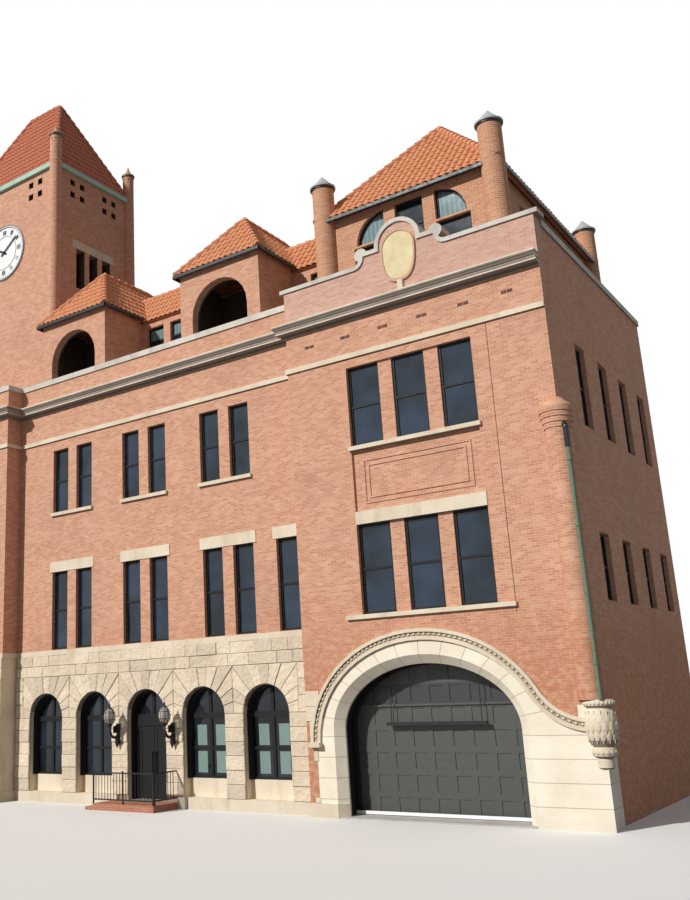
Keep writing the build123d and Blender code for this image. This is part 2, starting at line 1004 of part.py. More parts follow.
shaft_outline = [(shaft_radius, console_top), (shaft_radius, shaft_corbel_foot)]
corbel_course = (shaft_corbel_top - shaft_corbel_foot) / corbel_courses
for course in range(corbel_courses):
    radius = shaft_radius + (course + 1) * (corbel_radius - shaft_radius) / corbel_courses
    shaft_outline.append((radius, shaft_corbel_foot + course * corbel_course))
    shaft_outline.append((radius, shaft_corbel_foot + (course + 1) * corbel_course))
shaft_outline.append((shaft_radius / 2, shaft_cap_top))
with BuildPart() as corner_shaft:
    add(turned(shaft_outline, shaft_x, shaft_y, shaft_sides))
    add(pavilion_base_wall.part, mode=Mode.SUBTRACT)
    add(pavilion_wall.part, mode=Mode.SUBTRACT)
    add(side_wall_right.part, mode=Mode.SUBTRACT)
write(corner_shaft, "corner_shaft")

downspout_reach = (shaft_radius + downspout_gap + downspout_radius) * sin(radians(45))
downspout_outline = [(downspout_radius, console_top)]
for bracket in range(bracket_count):
    height = console_top + (downspout_top - console_top) * (bracket + 0.5) / bracket_count
    for radius, level in (
        (downspout_radius, height - bracket_height / 2),
        (downspout_radius + downspout_bracket, height - bracket_height / 2),
        (downspout_radius + downspout_bracket, height + bracket_height / 2),
        (downspout_radius, height + bracket_height / 2),
    ):
        downspout_outline.append((radius, level))
downspout_outline.append((downspout_radius, downspout_top))
with BuildPart() as downspout:
    add(turned(downspout_outline, shaft_x + downspout_reach, shaft_y - downspout_reach, downspout_sides))
    add(corner_shaft.part, mode=Mode.SUBTRACT)
write(downspout, "downspout")

# Stone lintels and sills in the front walls
with BuildPart() as window_stones:
    for face, bands, projection in (
        (wing_front, wing_lintels, lintel_projection),
        (tower_front, tower_lintels, lintel_projection),
        (pavilion_front, pavilion_lintels, lintel_projection),
        (wing_front, wing_sills, sill_projection),
        (tower_front, tower_sills, sill_projection),
        (pavilion_front, pavilion_sills, sill_projection),
    ):
        for first, last, foot, head in bands:
            block((first, last), (face - projection, face + brick_wall), (foot, head))
    for x in ((left, left + tower_wall), (tower_right - tower_wall, tower_right)):
        block(
            x,
            (tower_shaft_middle - tower_lintel_reach, tower_shaft_middle + tower_lintel_reach),
            (tower_window_head, tower_window_head + lintel_height),
        )
write(window_stones, "window_lintels_sills")


# Floors follow the inside of the walls
def floor_outline(front_wall):
    with BuildSketch() as outline:
        with BuildLine():
            Polyline(
                (left + brick_wall, tower_front + front_wall),
                (tower_right - front_wall, tower_front + front_wall),
                (tower_right - front_wall, wing_front + front_wall),
                (wing_right, wing_front + front_wall),
                (wing_right, pavilion_front + brick_wall),
                (right - brick_wall, pavilion_front + brick_wall),
                (right - brick_wall, back - brick_wall),
                (left + brick_wall, back - brick_wall),
                close=True,
            )
        make_face()
    return outline.sketch


with BuildPart() as ground_floor:
    with BuildSketch():
        add(floor_outline(stone_wall))
    extrude(amount=threshold_height)
    block((door_left, door_right), (wing_front, wing_front + stone_wall), (0, threshold_height))
    block(
        (wing_right, right - brick_wall),
        (pavilion_front, back - brick_wall),
        (garage_floor_thickness, threshold_height),
        Mode.SUBTRACT,
    )
    block(
        (garage_middle - garage_half_width, garage_middle + garage_half_width),
        (pavilion_front, pavilion_front + brick_wall),
        (0, garage_floor_thickness),
    )
    add(garage_arch.part, mode=Mode.SUBTRACT)
write(ground_floor, "ground_floor")

with BuildPart() as upper_floors:
    with BuildSketch(Plane.XY.offset(second_floor_top - floor_thickness)):
        add(floor_outline(stone_wall))
    with BuildSketch(
        Plane.XY.offset(third_floor_top - floor_thickness),
        Plane.XY.offset(roof_deck_top - floor_thickness),
    ):
        add(floor_outline(brick_wall))
    extrude(amount=floor_thickness)
    add(garage_arch.part, mode=Mode.SUBTRACT)
write(upper_floors, "upper_floors")


# Sashes of one row of windows, all of one size
def sash_frames(places):
    width, foot, head = places[0][1:]
    light_height = (head - foot - 3 * frame_width) / 2
    with Locations(*[(place[0], (foot + head) / 2) for place in places]):
        Rectangle(width, head - foot)
    with Locations(*sash_lights(places, light_height)):
        Rectangle(width - 2 * frame_width, light_height, mode=Mode.SUBTRACT)


def sash_panes(places):
    width, foot, head = places[0][1:]
    light_height = (head - foot - 3 * frame_width) / 2
    with Locations(*sash_lights(places, light_height)):
        Rectangle(width - 2 * frame_width, light_height)


def sash_lights(places, light_height):
    lights = []
    for middle, width, foot, head in places:
        lights.append((middle, foot + frame_width + light_height / 2))
        lights.append((middle, head - frame_width - light_height / 2))
    return lights


# Arched windows: the space inside the frame and the bars across it
def arched_lights(middles, mode):
    for middle in middles:
        arched(middle, arch_width - 2 * frame_width, apron_top + frame_width, arch_spring, mode)


def arched_bars(middles, mode):
    meeting = (apron_top + transom_foot) / 2
    half = (arch_width - frame_width) / 2
    for middle in middles:
        span(middle - mullion_width / 2, middle + mullion_width / 2, apron_top, arch_spring + half, mode)
        span(middle - half, middle + half, transom_foot, transom_foot + transom_height, mode)
        span(middle - half, middle + half, meeting - frame_width / 2, meeting + frame_width / 2, mode)


wing_bays = bay_middles[:2] + bay_middles[3:]
with BuildPart() as ground_window_frames:
    for face, middles in ((wing_front, wing_bays), (tower_front, tower_bays)):
        with BuildSketch(front_plane(face + frame_setback)):
            for middle in middles:
                arched(middle, arch_width, apron_top, arch_spring)
            arched_lights(middles, Mode.SUBTRACT)
            arched_bars(middles, Mode.ADD)
        extrude(amount=-frame_depth)
write(ground_window_frames, "ground_window_frames")

# Entrance: side posts, transom panel and fanlight, with two leaves that open inwards
post_inner = arch_width / 2 - door_side_post
fan_foot = transom_foot + transom_height
fan_radius = arch_width / 2 - frame_width
leaf_foot = threshold_height + leaf_gap
leaf_head = door_head - leaf_gap
leaf_back = wing_front + frame_setback + frame_depth
leaf_face = leaf_back - leaf_thickness
hinge_y = leaf_back + hinge_standoff
hinge_levels = (leaf_foot + hinge_inset, (leaf_foot + leaf_head) / 2, leaf_head - hinge_inset)


# The axis of one leaf; side is -1 for the left leaf and 1 for the right one
def hinge_x(side):
    return door_middle + side * (post_inner - leaf_gap / 2)


# Half of each hinge: a knuckle on the axis and the plate that holds it, from the axis to one side
def hinge_halves(side, reach, raised):
    x = hinge_x(side)
    plate_x = (min(x, x + reach), max(x, x + reach))
    for level in hinge_levels:
        foot = level if raised else level - hinge_knuckle
        plate_y = (leaf_back, leaf_back + hinge_standoff - hinge_radius / 2)
        block(plate_x, plate_y, (foot, foot + hinge_knuckle))
        add(turned([(hinge_radius, foot), (hinge_radius, foot + hinge_knuckle)], x, hinge_y, knuckle_sides))


def fanlight_bar(mode):
    reach = mullion_width / 2
    span(door_middle - reach, door_middle + reach, fan_foot, arch_spring + fan_radius, mode)


with BuildPart() as ground_window_glass:
    for face, middles in ((wing_front, wing_bays), (tower_front, tower_bays)):
        with BuildSketch(front_plane(face + frame_setback + pane_setback)):
            arched_lights(middles, Mode.ADD)
            arched_bars(middles, Mode.SUBTRACT)
        extrude(amount=-glass_thickness)
    with BuildSketch(front_plane(wing_front + frame_setback + pane_setback)):
        with Locations((door_middle, arch_spring)):
            RegularPolygon(fan_radius, arch_sides)
        span(door_left, door_right, threshold_height, fan_foot, Mode.SUBTRACT)
        fanlight_bar(Mode.SUBTRACT)
    extrude(amount=-glass_thickness)
write(ground_window_glass, "ground_window_glass")

with BuildPart() as entrance_frame:
    with BuildSketch(front_plane(wing_front + frame_setback)):
        arched(door_middle, arch_width, threshold_height, arch_spring)
        with Locations((door_middle, arch_spring)):
            RegularPolygon(fan_radius, arch_sides, mode=Mode.SUBTRACT)
        span(door_left, door_right, threshold_height, fan_foot)
        span(door_middle - post_inner, door_middle + post_inner, threshold_height, door_head, Mode.SUBTRACT)
        fanlight_bar(Mode.ADD)
    extrude(amount=-frame_depth)
    add(wall_over_door.part, mode=Mode.SUBTRACT)
    for side in (-1, 1):
        hinge_halves(side, side * hinge_plate, False)
write(entrance_frame, "entrance_frame")


# One leaf with its recessed panels, its pull and its halves of the hinges
def door_leaf(side):
    hinge_edge = door_middle + side * (post_inner - leaf_gap)
    meeting_edge = door_middle + side * meeting_gap / 2
    first = min(hinge_edge, meeting_edge)
    last = max(hinge_edge, meeting_edge)
    pull_x = meeting_edge + side * pull_offset
    pull_y = leaf_face - pull_offset
    pull_middle = (leaf_foot + leaf_head) / 2
    with BuildPart() as leaf:
        block((first, last), (leaf_face, leaf_back), (leaf_foot, leaf_head))
        for foot, head in (
            (leaf_foot + leaf_stile, leaf_rail_top),
            (leaf_rail_top + leaf_stile, leaf_head - leaf_stile),
        ):
            block(
                (first + leaf_stile, last - leaf_stile),
                (leaf_face, leaf_face + leaf_panel_depth),
                (foot, head),
                Mode.SUBTRACT,
            )
        pull = (pull_x - pull_radius, pull_x + pull_radius)
        pull_height = (pull_middle - pull_length / 2, pull_middle + pull_length / 2)
        block(pull, (pull_y - pull_radius, pull_y + pull_radius), pull_height)
        for height in (pull_middle - pull_length * 0.4, pull_middle + pull_length * 0.4):
            block(pull, (pull_y, leaf_face), (height - pull_radius, height + pull_radius))
        hinge_halves(side, -side * hinge_plate, True)
    return leaf


door_leaf_left = door_leaf(-1)
write(door_leaf_left, "door_leaf_left")
door_leaf_right = door_leaf(1)
write(door_leaf_right, "door_leaf_right")

# Landing with its lower tread at the left end, and the railing along the street edge
landing_front = wing_front - landing_depth
with BuildPart() as entrance_steps:
    block((landing_left, landing_right), (landing_front, wing_front), (0, threshold_height))
    block(
        (landing_left - step_going, landing_left),
        (landing_front, wing_front - plinth_projection),
        (0, threshold_height / 2),
    )
write(entrance_steps, "entrance_steps")

rail_y = landing_front + railing_post
rail_x = landing_right - railing_post
return_front = rail_y + railing_post + masonry_joint
low_rail = threshold_height + railing_low
high_rail = threshold_height + railing_height


def railing_bar(x, y, width, foot, head):
    block((x - width / 2, x + width / 2), (y - width / 2, y + width / 2), (foot, head))


with BuildPart() as entrance_railings:
    for level in (low_rail, high_rail):
        height = (level - railing_post, level)
        across = (rail_y - railing_post / 2, rail_y + railing_post / 2)
        block((landing_left, rail_x + railing_post / 2), across, height)
        block((rail_x - railing_post / 2, rail_x + railing_post / 2), (return_front, wing_front), height)
    for x in (landing_left + railing_post / 2, (landing_left + landing_right) / 2, rail_x):
        railing_bar(x, rail_y, railing_post, threshold_height, high_rail + railing_post)
    end_post = return_front + railing_post / 2
    railing_bar(rail_x, end_post, railing_post, threshold_height, high_rail + railing_post)
    baluster_top = high_rail - railing_post
    for number in range(1, int(landing_width / baluster_pitch)):
        railing_bar(landing_left + number * baluster_pitch, rail_y, baluster_width, low_rail, baluster_top)
    for number in range(1, int((wing_front - return_front) / baluster_pitch)):
        railing_bar(rail_x, return_front + number * baluster_pitch, baluster_width, low_rail, baluster_top)
write(entrance_railings, "entrance_railings")

# Wall lanterns on the piers beside the entrance
with BuildPart() as wall_lanterns:
    for side in (-1, 1):
        lantern_x = door_middle + side * bay_pitch / 2
        lantern_y = wing_front - lantern_reach
        lantern_outline = [
            (lantern_arm / 2, lantern_foot - lantern_stem),
            (lantern_arm / 2, lantern_foot),
            (lantern_cup_radius, lantern_foot),
            (lantern_radius, lantern_foot + lantern_height),
            (lantern_rim_radius, lantern_foot + lantern_height),
            (lantern_tip_radius, lantern_foot + lantern_height + lantern_cap_height),
        ]
        plate_front = wing_front - lantern_plate_depth
        plate_x = (lantern_x - lantern_plate_half_width, lantern_x + lantern_plate_half_width)
        arm_x = (lantern_x - lantern_arm / 2, lantern_x + lantern_arm / 2)
        arm_foot = lantern_foot - lantern_stem
        plate_height = (arm_foot - lantern_plate_reach, arm_foot + lantern_plate_reach)
        block(plate_x, (plate_front, wing_front), plate_height)
        block(arm_x, (lantern_y, plate_front), (arm_foot, arm_foot + lantern_arm))
        add(turned(lantern_outline, lantern_x, lantern_y, lantern_sides))
write(wall_lanterns, "wall_lanterns")

# Garage door behind a frame that bears on the back of the stone arch
garage_frame_y = pavilion_front + garage_reveal
garage_door_y = garage_frame_y + garage_frame_depth
with BuildPart() as garage_frame:
    with BuildSketch(front_plane(garage_frame_y)):
        garage_opening(-garage_frame_bearing, Mode.ADD)
        garage_opening(garage_frame_width - garage_frame_bearing, Mode.SUBTRACT)
    extrude(amount=-garage_frame_depth)
    block((wing_right, right), (garage_frame_y, garage_door_y), (0, garage_floor_thickness), Mode.SUBTRACT)
write(garage_frame, "garage_frame")

door_margin = garage_frame_width - garage_frame_bearing - garage_door_lap
door_half_width = garage_half_width - door_margin
garage_section_height = (garage_spring + garage_rise - door_margin) / garage_section_count
panel_pitch = 2 * door_half_width / garage_panel_columns
panel_width = panel_pitch - garage_panel_between
with BuildPart() as garage_door:
    with BuildSketch(front_plane(garage_door_y)):
        garage_opening(door_margin, Mode.ADD)
    extrude(amount=-garage_door_thickness)
    with BuildSketch(front_plane(garage_door_y)):
        for row in range(garage_section_count):
            for column in range(garage_panel_columns):
                x = garage_middle + (column - (garage_panel_columns - 1) / 2) * panel_pitch
                z = (row + 0.5) * garage_section_height
                reach = abs(x - garage_middle) + panel_width / 2
                top = z + (garage_section_height - garage_panel_margin) / 2
                over_spring = max(top - garage_spring, 0) / (garage_rise - door_margin)
                if hypot(reach / door_half_width, over_spring) < 1:
                    with Locations((x, z)):
                        Rectangle(panel_width, garage_section_height - garage_panel_margin)
    extrude(amount=-garage_panel_depth, mode=Mode.SUBTRACT)
    ledge = garage_ledge_sections * garage_section_height
    ledge_reach = garage_half_width * ledge_fraction
    block(
        (garage_middle - ledge_reach, garage_middle + ledge_reach),
        (garage_door_y - garage_ledge_depth, garage_door_y),
        (ledge - garage_ledge_height / 2, ledge + garage_ledge_height / 2),
    )
    door_depth = (garage_door_y, garage_door_y + garage_door_thickness)
    block((wing_right, right), door_depth, (0, garage_floor_thickness), Mode.SUBTRACT)
write(garage_door, "garage_door")

bar_y = garage_frame_y - clearance_bar_radius
with BuildPart() as clearance_bar:
    block(
        (garage_middle - clearance_bar_length / 2, garage_middle + clearance_bar_length / 2),
        (bar_y - clearance_bar_radius, bar_y + clearance_bar_radius),
        (clearance_bar_height - clearance_bar_radius, clearance_bar_height + clearance_bar_radius),
    )
    for side in (-1, 1):
        hanger_x = garage_middle + side * clearance_bar_length * 0.45
        block(
            (hanger_x - clearance_hanger / 2, hanger_x + clearance_hanger / 2),
            (bar_y - clearance_hanger / 2, bar_y + clearance_hanger / 2),
            (clearance_bar_height, garage_spring + garage_rise),
        )
    add(garage_arch.part, mode=Mode.SUBTRACT)
    add(garage_frame.part, mode=Mode.SUBTRACT)
write(clearance_bar, "clearance_bar")


# A hipped roof as a shell with one thickness; run is how far each slope reaches in plan
def hip_solid(x, y, foot, ridge, run_x, run_y):
    with BuildPart() as roof:
        with BuildSketch(front_plane(y[0])):
            hip_profile(x, foot, ridge, run_x)
        extrude(amount=y[0] - y[1])
        with BuildSketch(side_plane(x[0])):
            hip_profile(y, foot, ridge, run_y)
        extrude(amount=x[1] - x[0], mode=Mode.INTERSECT)
    return roof.part


def hip_profile(reach, foot, ridge, run):
    corners = [(reach[0], foot), (reach[1], foot), (reach[1] - run, ridge)]
    if reach[0] + run < reach[1] - run:
        corners.append((reach[0] + run, ridge))
    with BuildLine() as outline:
        Polyline(*corners, close=True)
    make_face(outline.edges())


# The hollow under the shell, with its slopes parallel to the outer ones
def hip_hollow(x, y, foot, ridge, run_x, run_y):
    closing = run_x if run_x == (x[1] - x[0]) / 2 else run_y
    scale = 1 - roof_shell / closing
    return hip_solid(
        (x[0] + roof_shell, x[1] - roof_shell),
        (y[0] + roof_shell, y[1] - roof_shell),
        foot,
        foot + (ridge - foot) * scale,
        run_x * scale,
        run_y * scale,
    )


# Clock tower
shaft_reach_x = (left, tower_right)
shaft_reach_y = (tower_shaft_front, tower_shaft_back)
with BuildPart() as tower_walls:
    block(shaft_reach_x, shaft_reach_y, (roof_deck_top, tower_top))
    block(
        (left + tower_wall, tower_right - tower_wall),
        (tower_shaft_front + tower_wall, tower_shaft_back - tower_wall),
        (roof_deck_top, tower_top),
        Mode.SUBTRACT,
    )
    hole_rows = (square_hole_height - square_hole_pitch / 2, square_hole_height + square_hole_pitch / 2)
    with BuildSketch(front_plane(tower_shaft_front)):
        for group in (-1, 1):
            for side in (-0.5, 0.5):
                for height in hole_rows:
                    middle = tower_middle + group * square_holes_from_middle + side * square_hole_pitch
                    with Locations((middle, height)):
                        Rectangle(square_hole, square_hole)
    extrude(amount=-tower_depth, mode=Mode.SUBTRACT)
    with BuildSketch(side_plane(tower_right)):
        for group in (-1, 1):
            for side in (-0.5, 0.5):
                for height in hole_rows:
                    middle = tower_shaft_middle + group * side_holes_from_middle + side * square_hole_pitch
                    with Locations((middle, height)):
                        Rectangle(square_hole, square_hole)
        for column in (-1, 0, 1):
            middle = tower_shaft_middle + column * tower_window_pitch
            reach = tower_window_width / 2
            span(middle - reach, middle + reach, tower_window_foot, tower_window_head)
        span(
            tower_shaft_middle - tower_lintel_reach,
            tower_shaft_middle + tower_lintel_reach,
            tower_window_head,
            tower_window_head + lintel_height,
        )
    extrude(amount=-tower_width, mode=Mode.SUBTRACT)
write(tower_walls, "tower_walls")

penthouse_middle = wing_front + penthouse_setback + penthouse_depth / 2
penthouse_reach_x = (penthouse_x - penthouse_half_width, penthouse_x + penthouse_half_width)
penthouse_reach_y = (wing_front + penthouse_setback, wing_front + penthouse_setback + penthouse_depth)
with BuildPart() as corner_turrets:
    for x in shaft_reach_x:
        for y in shaft_reach_y:
            outline = [(tower_turret_radius, tower_turret_foot), (tower_turret_radius, tower_turret_top)]
            add(turned(outline, x, y, turret_sides))
    for x in penthouse_reach_x:
        for y in penthouse_reach_y:
            add(turned([(turret_radius, roof_deck_top), (turret_radius, turret_top)], x, y, turret_sides))
    block(shaft_reach_x, shaft_reach_y, (roof_deck_top, tower_top), Mode.SUBTRACT)
    block(penthouse_reach_x, penthouse_reach_y, (roof_deck_top, penthouse_eaves), Mode.SUBTRACT)
    add(rear_wall.part, mode=Mode.SUBTRACT)
    add(parapet_coping.part, mode=Mode.SUBTRACT)
write(corner_turrets, "corner_turrets")

with BuildPart() as turret_caps:
    for corners_x, corners_y, radius, height, rise in (
        (shaft_reach_x, shaft_reach_y, tower_turret_radius, tower_turret_top, tower_cap_height),
        (penthouse_reach_x, penthouse_reach_y, turret_radius, turret_top, turret_cap_height),
    ):
        with BuildSketch(Plane.XY.offset(height)):
            with Locations(*[(x, y) for x in corners_x for y in corners_y]):
                RegularPolygon(radius + cap_overhang, cap_sides)
        extrude(amount=cap_lip)
        with BuildSketch(Plane.XY.offset(height + cap_lip)):
            with Locations(*[(x, y) for x in corners_x for y in corners_y]):
                RegularPolygon(radius, cap_sides)
        extrude(amount=rise - cap_lip, taper=degrees(atan2(radius * cap_taper, rise - cap_lip)))
write(turret_caps, "turret_caps")

with BuildPart() as tower_cornice:
    reach = tower_cornice_projection
    level = (tower_top, tower_top + tower_cornice_height)
    block((left - reach, tower_right + reach), (tower_shaft_front - reach, tower_shaft_back + reach), level)
    block(
        (left + tower_wall, tower_right - tower_wall),
        (tower_shaft_front + tower_wall, tower_shaft_back - tower_wall),
        level,
        Mode.SUBTRACT,
    )
    add(corner_turrets.part, mode=Mode.SUBTRACT)
write(tower_cornice, "tower_cornice")

tower_roof_foot = tower_top + tower_cornice_height
tower_hip_run = (tower_width - tower_ridge_length) / 2
tower_hip = (tower_hip_run, tower_depth / 2)
tower_roof_form = (shaft_reach_x, shaft_reach_y, tower_roof_foot, tower_ridge, *tower_hip)
tower_roof_solid = hip_solid(*tower_roof_form)
tower_roof_hollow = hip_hollow(*tower_roof_form)
with BuildPart() as tower_roof:
    add(tower_roof_solid)
    add(tower_roof_hollow, mode=Mode.SUBTRACT)
    add(corner_turrets.part, mode=Mode.SUBTRACT)
write(tower_roof, "tower_roof")

with BuildPart() as clock_dial:
    with BuildSketch(front_plane(tower_shaft_front)):
        with Locations((tower_middle, dial_height)):
            RegularPolygon(dial_radius, dial_sides)
    extrude(amount=dial_thickness)
    with BuildSketch(front_plane(tower_shaft_front - dial_thickness)):
        with Locations((tower_middle, dial_height)):
            RegularPolygon(dial_radius - dial_rim, dial_sides)
    extrude(amount=-dial_thickness / 2, mode=Mode.SUBTRACT)
write(clock_dial, "clock_dial")

# Roof rooms behind the parapet: two loggias, the attic between them and the penthouse
loggia_middles = (pair_middles[0], pair_middles[2])
loggia_half = loggia_width / 2
loggia_eave_half = loggia_half + loggia_overhang
loggia_reach_y = (wing_front - loggia_overhang, wing_front - loggia_overhang + loggia_depth)
attic_reach_x = (tower_right, penthouse_reach_x[0])
attic_reach_y = (wing_front + attic_setback, wing_front + attic_setback + attic_depth)
loggia_foot = wing_parapet_top + coping_height
loggia_roof_solids = []
loggia_roof_hollows = []
for middle in loggia_middles:
    form = (
        (middle - loggia_eave_half, middle + loggia_eave_half),
        loggia_reach_y,
        loggia_eaves,
        loggia_ridge,
        loggia_eave_half,
        loggia_eave_half,
    )
    loggia_roof_solids.append(hip_solid(*form))
    loggia_roof_hollows.append(hip_hollow(*form))

with BuildPart() as loggia_walls:
    with BuildSketch(front_plane(wing_front)):
        for middle in loggia_middles:
            span(middle - loggia_half, middle + loggia_half, loggia_foot, loggia_eaves)
            arched(middle, loggia_arch_width, loggia_foot, loggia_arch_spring, Mode.SUBTRACT)
    extrude(amount=-loggia_wall)
    for middle in loggia_middles:
        for x in (
            (middle - loggia_half, middle - loggia_half + attic_wall),
            (middle + loggia_half - attic_wall, middle + loggia_half),
        ):
            block(x, (wing_front + loggia_wall, attic_reach_y[0]), (roof_deck_top, loggia_eaves))
    add(parapet_coping.part, mode=Mode.SUBTRACT)
    add(wing_upper_wall.part, mode=Mode.SUBTRACT)
write(loggia_walls, "loggia_walls")

with BuildPart() as loggia_roofs:
    for solid in loggia_roof_solids:
        add(solid)
    for hollow in loggia_roof_hollows:
        add(hollow, mode=Mode.SUBTRACT)
write(loggia_roofs, "loggia_roofs")


attic_windows = []
for middle in attic_window_middles:
    attic_windows.append((middle, attic_window_width, attic_window_foot, attic_window_head))
with BuildPart() as attic_walls:
    block(attic_reach_x, attic_reach_y, (roof_deck_top, attic_eaves))
    block(
        (attic_reach_x[0] + attic_wall, attic_reach_x[1] - attic_wall),
        (attic_reach_y[0] + attic_wall, attic_reach_y[1] - attic_wall),
        (roof_deck_top, attic_eaves),
        Mode.SUBTRACT,
    )
    with BuildSketch(front_plane(attic_reach_y[0])):
        for middle, width, foot, head in attic_windows:
            span(middle - width / 2, middle + width / 2, foot, head)
        for middle in loggia_middles:
            reach = loggia_door_width / 2
            span(middle - reach, middle + reach, roof_deck_top, loggia_door_head)
    extrude(amount=-attic_wall, mode=Mode.SUBTRACT)
    add(corner_turrets.part, mode=Mode.SUBTRACT)
write(attic_walls, "attic_walls")

attic_eave_y = (attic_reach_y[0] - attic_overhang, attic_reach_y[1] + attic_overhang)


def attic_profile(shell):
    rise = attic_ridge - attic_eaves
    run = attic_slope_run * (1 - shell / rise)
    with BuildLine() as outline:
        Polyline(
            (attic_eave_y[0] + shell, attic_eaves),
            (attic_eave_y[1] - shell, attic_eaves),
            (attic_eave_y[1] - shell - run, attic_ridge - shell),
            (attic_eave_y[0] + shell + run, attic_ridge - shell),
            close=True,
        )
    return outline.edges()


quarter_x = plaque_middle + quarter_windows_offset


# Penthouse windows: quarter circles over short lights on both sides of a square one
def quarter_windows(inset, mode):
    for side in (-1, 1):
        jamb = quarter_x + side * (quarter_window_from_middle + inset)
        far = quarter_x + side * (quarter_window_from_middle + quarter_light_width - inset)
        with BuildSketch(mode=Mode.PRIVATE) as quarter:
            with Locations((quarter_x + side * quarter_window_from_middle, quarter_window_spring)):
                RegularPolygon(quarter_window_radius - inset, arch_sides)
            span(
                min(jamb, jamb + side * quarter_window_radius),
                max(jamb, jamb + side * quarter_window_radius),
                quarter_window_spring + inset,
                quarter_window_spring + quarter_window_radius,
                Mode.INTERSECT,
            )
        add(quarter.sketch, mode=mode)
        light_head = quarter_window_spring - quarter_light_gap - inset
        span(min(jamb, far), max(jamb, far), attic_sill + inset, light_head, mode)


penthouse_side_windows = []
for column in range(penthouse_side_columns):
    middle = penthouse_middle + (column - (penthouse_side_columns - 1) / 2) * side_window_pitch
    penthouse_side_windows.append((middle, side_window_width, attic_sill, penthouse_window_head))
penthouse_square = [(quarter_x, square_window_width, attic_sill, square_window_head)]
with BuildPart() as penthouse_walls:
    block(penthouse_reach_x, penthouse_reach_y, (roof_deck_top, penthouse_eaves))
    block(
        (penthouse_reach_x[0] + attic_wall, penthouse_reach_x[1] - attic_wall),
        (penthouse_reach_y[0] + attic_wall, penthouse_reach_y[1] - attic_wall),
        (roof_deck_top, penthouse_eaves),
        Mode.SUBTRACT,
    )
    with BuildSketch(front_plane(penthouse_reach_y[0])):
        quarter_windows(0, Mode.ADD)
        for middle, width, foot, head in penthouse_square:
            span(middle - width / 2, middle + width / 2, foot, head)
    extrude(amount=-attic_wall, mode=Mode.SUBTRACT)
    with BuildSketch(side_plane(penthouse_reach_x[1])):
        for middle, width, foot, head in penthouse_side_windows:
            span(middle - width / 2, middle + width / 2, foot, head)
    extrude(amount=-attic_wall, mode=Mode.SUBTRACT)
    add(parapet_coping.part, mode=Mode.SUBTRACT)
write(penthouse_walls, "penthouse_walls")

penthouse_eave_half = penthouse_half_width + penthouse_overhang
penthouse_roof_form = (
    (penthouse_x - penthouse_eave_half, penthouse_x + penthouse_eave_half),
    (penthouse_reach_y[0] - penthouse_overhang, penthouse_reach_y[1] + penthouse_overhang),
    penthouse_eaves,
    penthouse_ridge,
    penthouse_eave_half,
    penthouse_hip_run,
)
penthouse_roof_solid = hip_solid(*penthouse_roof_form)
penthouse_roof_hollow = hip_hollow(*penthouse_roof_form)
with BuildPart() as penthouse_roof:
    add(penthouse_roof_solid)
    add(penthouse_roof_hollow, mode=Mode.SUBTRACT)
    add(corner_turrets.part, mode=Mode.SUBTRACT)
write(penthouse_roof, "penthouse_roof")

# The attic roof stops at the loggia roofs and at the penthouse
with BuildPart() as attic_roof:
    with BuildSketch(side_plane(attic_reach_x[0])):
        make_face(attic_profile(0))
        make_face(attic_profile(roof_shell), mode=Mode.SUBTRACT)
    extrude(amount=attic_reach_x[1] - attic_reach_x[0])
    for solid in loggia_roof_solids:
        add(solid, mode=Mode.SUBTRACT)
    add(penthouse_roof_solid, mode=Mode.SUBTRACT)
    add(loggia_walls.part, mode=Mode.SUBTRACT)
    add(corner_turrets.part, mode=Mode.SUBTRACT)
write(attic_roof, "attic_roof")

# Sash frames and panes of the upper storeys and the roof rooms: plane, windows
window_rows = [
    (front_plane(wing_front + window_setback), wing_second),
    (front_plane(wing_front + window_setback), wing_third),
    (front_plane(tower_front + window_setback), tower_second),
    (front_plane(tower_front + window_setback), tower_third),
    (front_plane(pavilion_front + window_setback), pavilion_second),
    (front_plane(pavilion_front + window_setback), pavilion_third),
    (front_plane(attic_reach_y[0] + window_setback), attic_windows),
    (front_plane(penthouse_reach_y[0] + window_setback), penthouse_square),
    (side_plane(penthouse_reach_x[1] - window_setback), penthouse_side_windows),
    (side_plane(right - window_setback), side_windows[0::2]),
    (side_plane(right - window_setback), side_windows[1::2]),
    (side_plane(left + window_setback + frame_depth), side_windows[0::2]),
    (side_plane(left + window_setback + frame_depth), side_windows[1::2]),
    (front_plane(back - window_setback - frame_depth), rear_windows[0::2]),
    (front_plane(back - window_setback - frame_depth), rear_windows[1::2]),
]
with BuildPart() as upper_window_frames:
    for plane, places in window_rows:
        with BuildSketch(plane):
            sash_frames(places)
        extrude(amount=-frame_depth)
    with BuildSketch(front_plane(penthouse_reach_y[0] + window_setback)):
        quarter_windows(0, Mode.ADD)
        quarter_windows(frame_width, Mode.SUBTRACT)
    extrude(amount=-frame_depth)
write(upper_window_frames, "upper_window_frames")

with BuildPart() as upper_window_glass:
    for plane, places in window_rows:
        with BuildSketch(plane.offset(-pane_setback)):
            sash_panes(places)
        extrude(amount=-glass_thickness)
    with BuildSketch(front_plane(penthouse_reach_y[0] + window_setback + pane_setback)):
        quarter_windows(frame_width, Mode.ADD)
    extrude(amount=-glass_thickness)
write(upper_window_glass, "upper_window_glass")
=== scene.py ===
import json
import math
import random

import bmesh
import bpy
from mathutils import Matrix, Vector


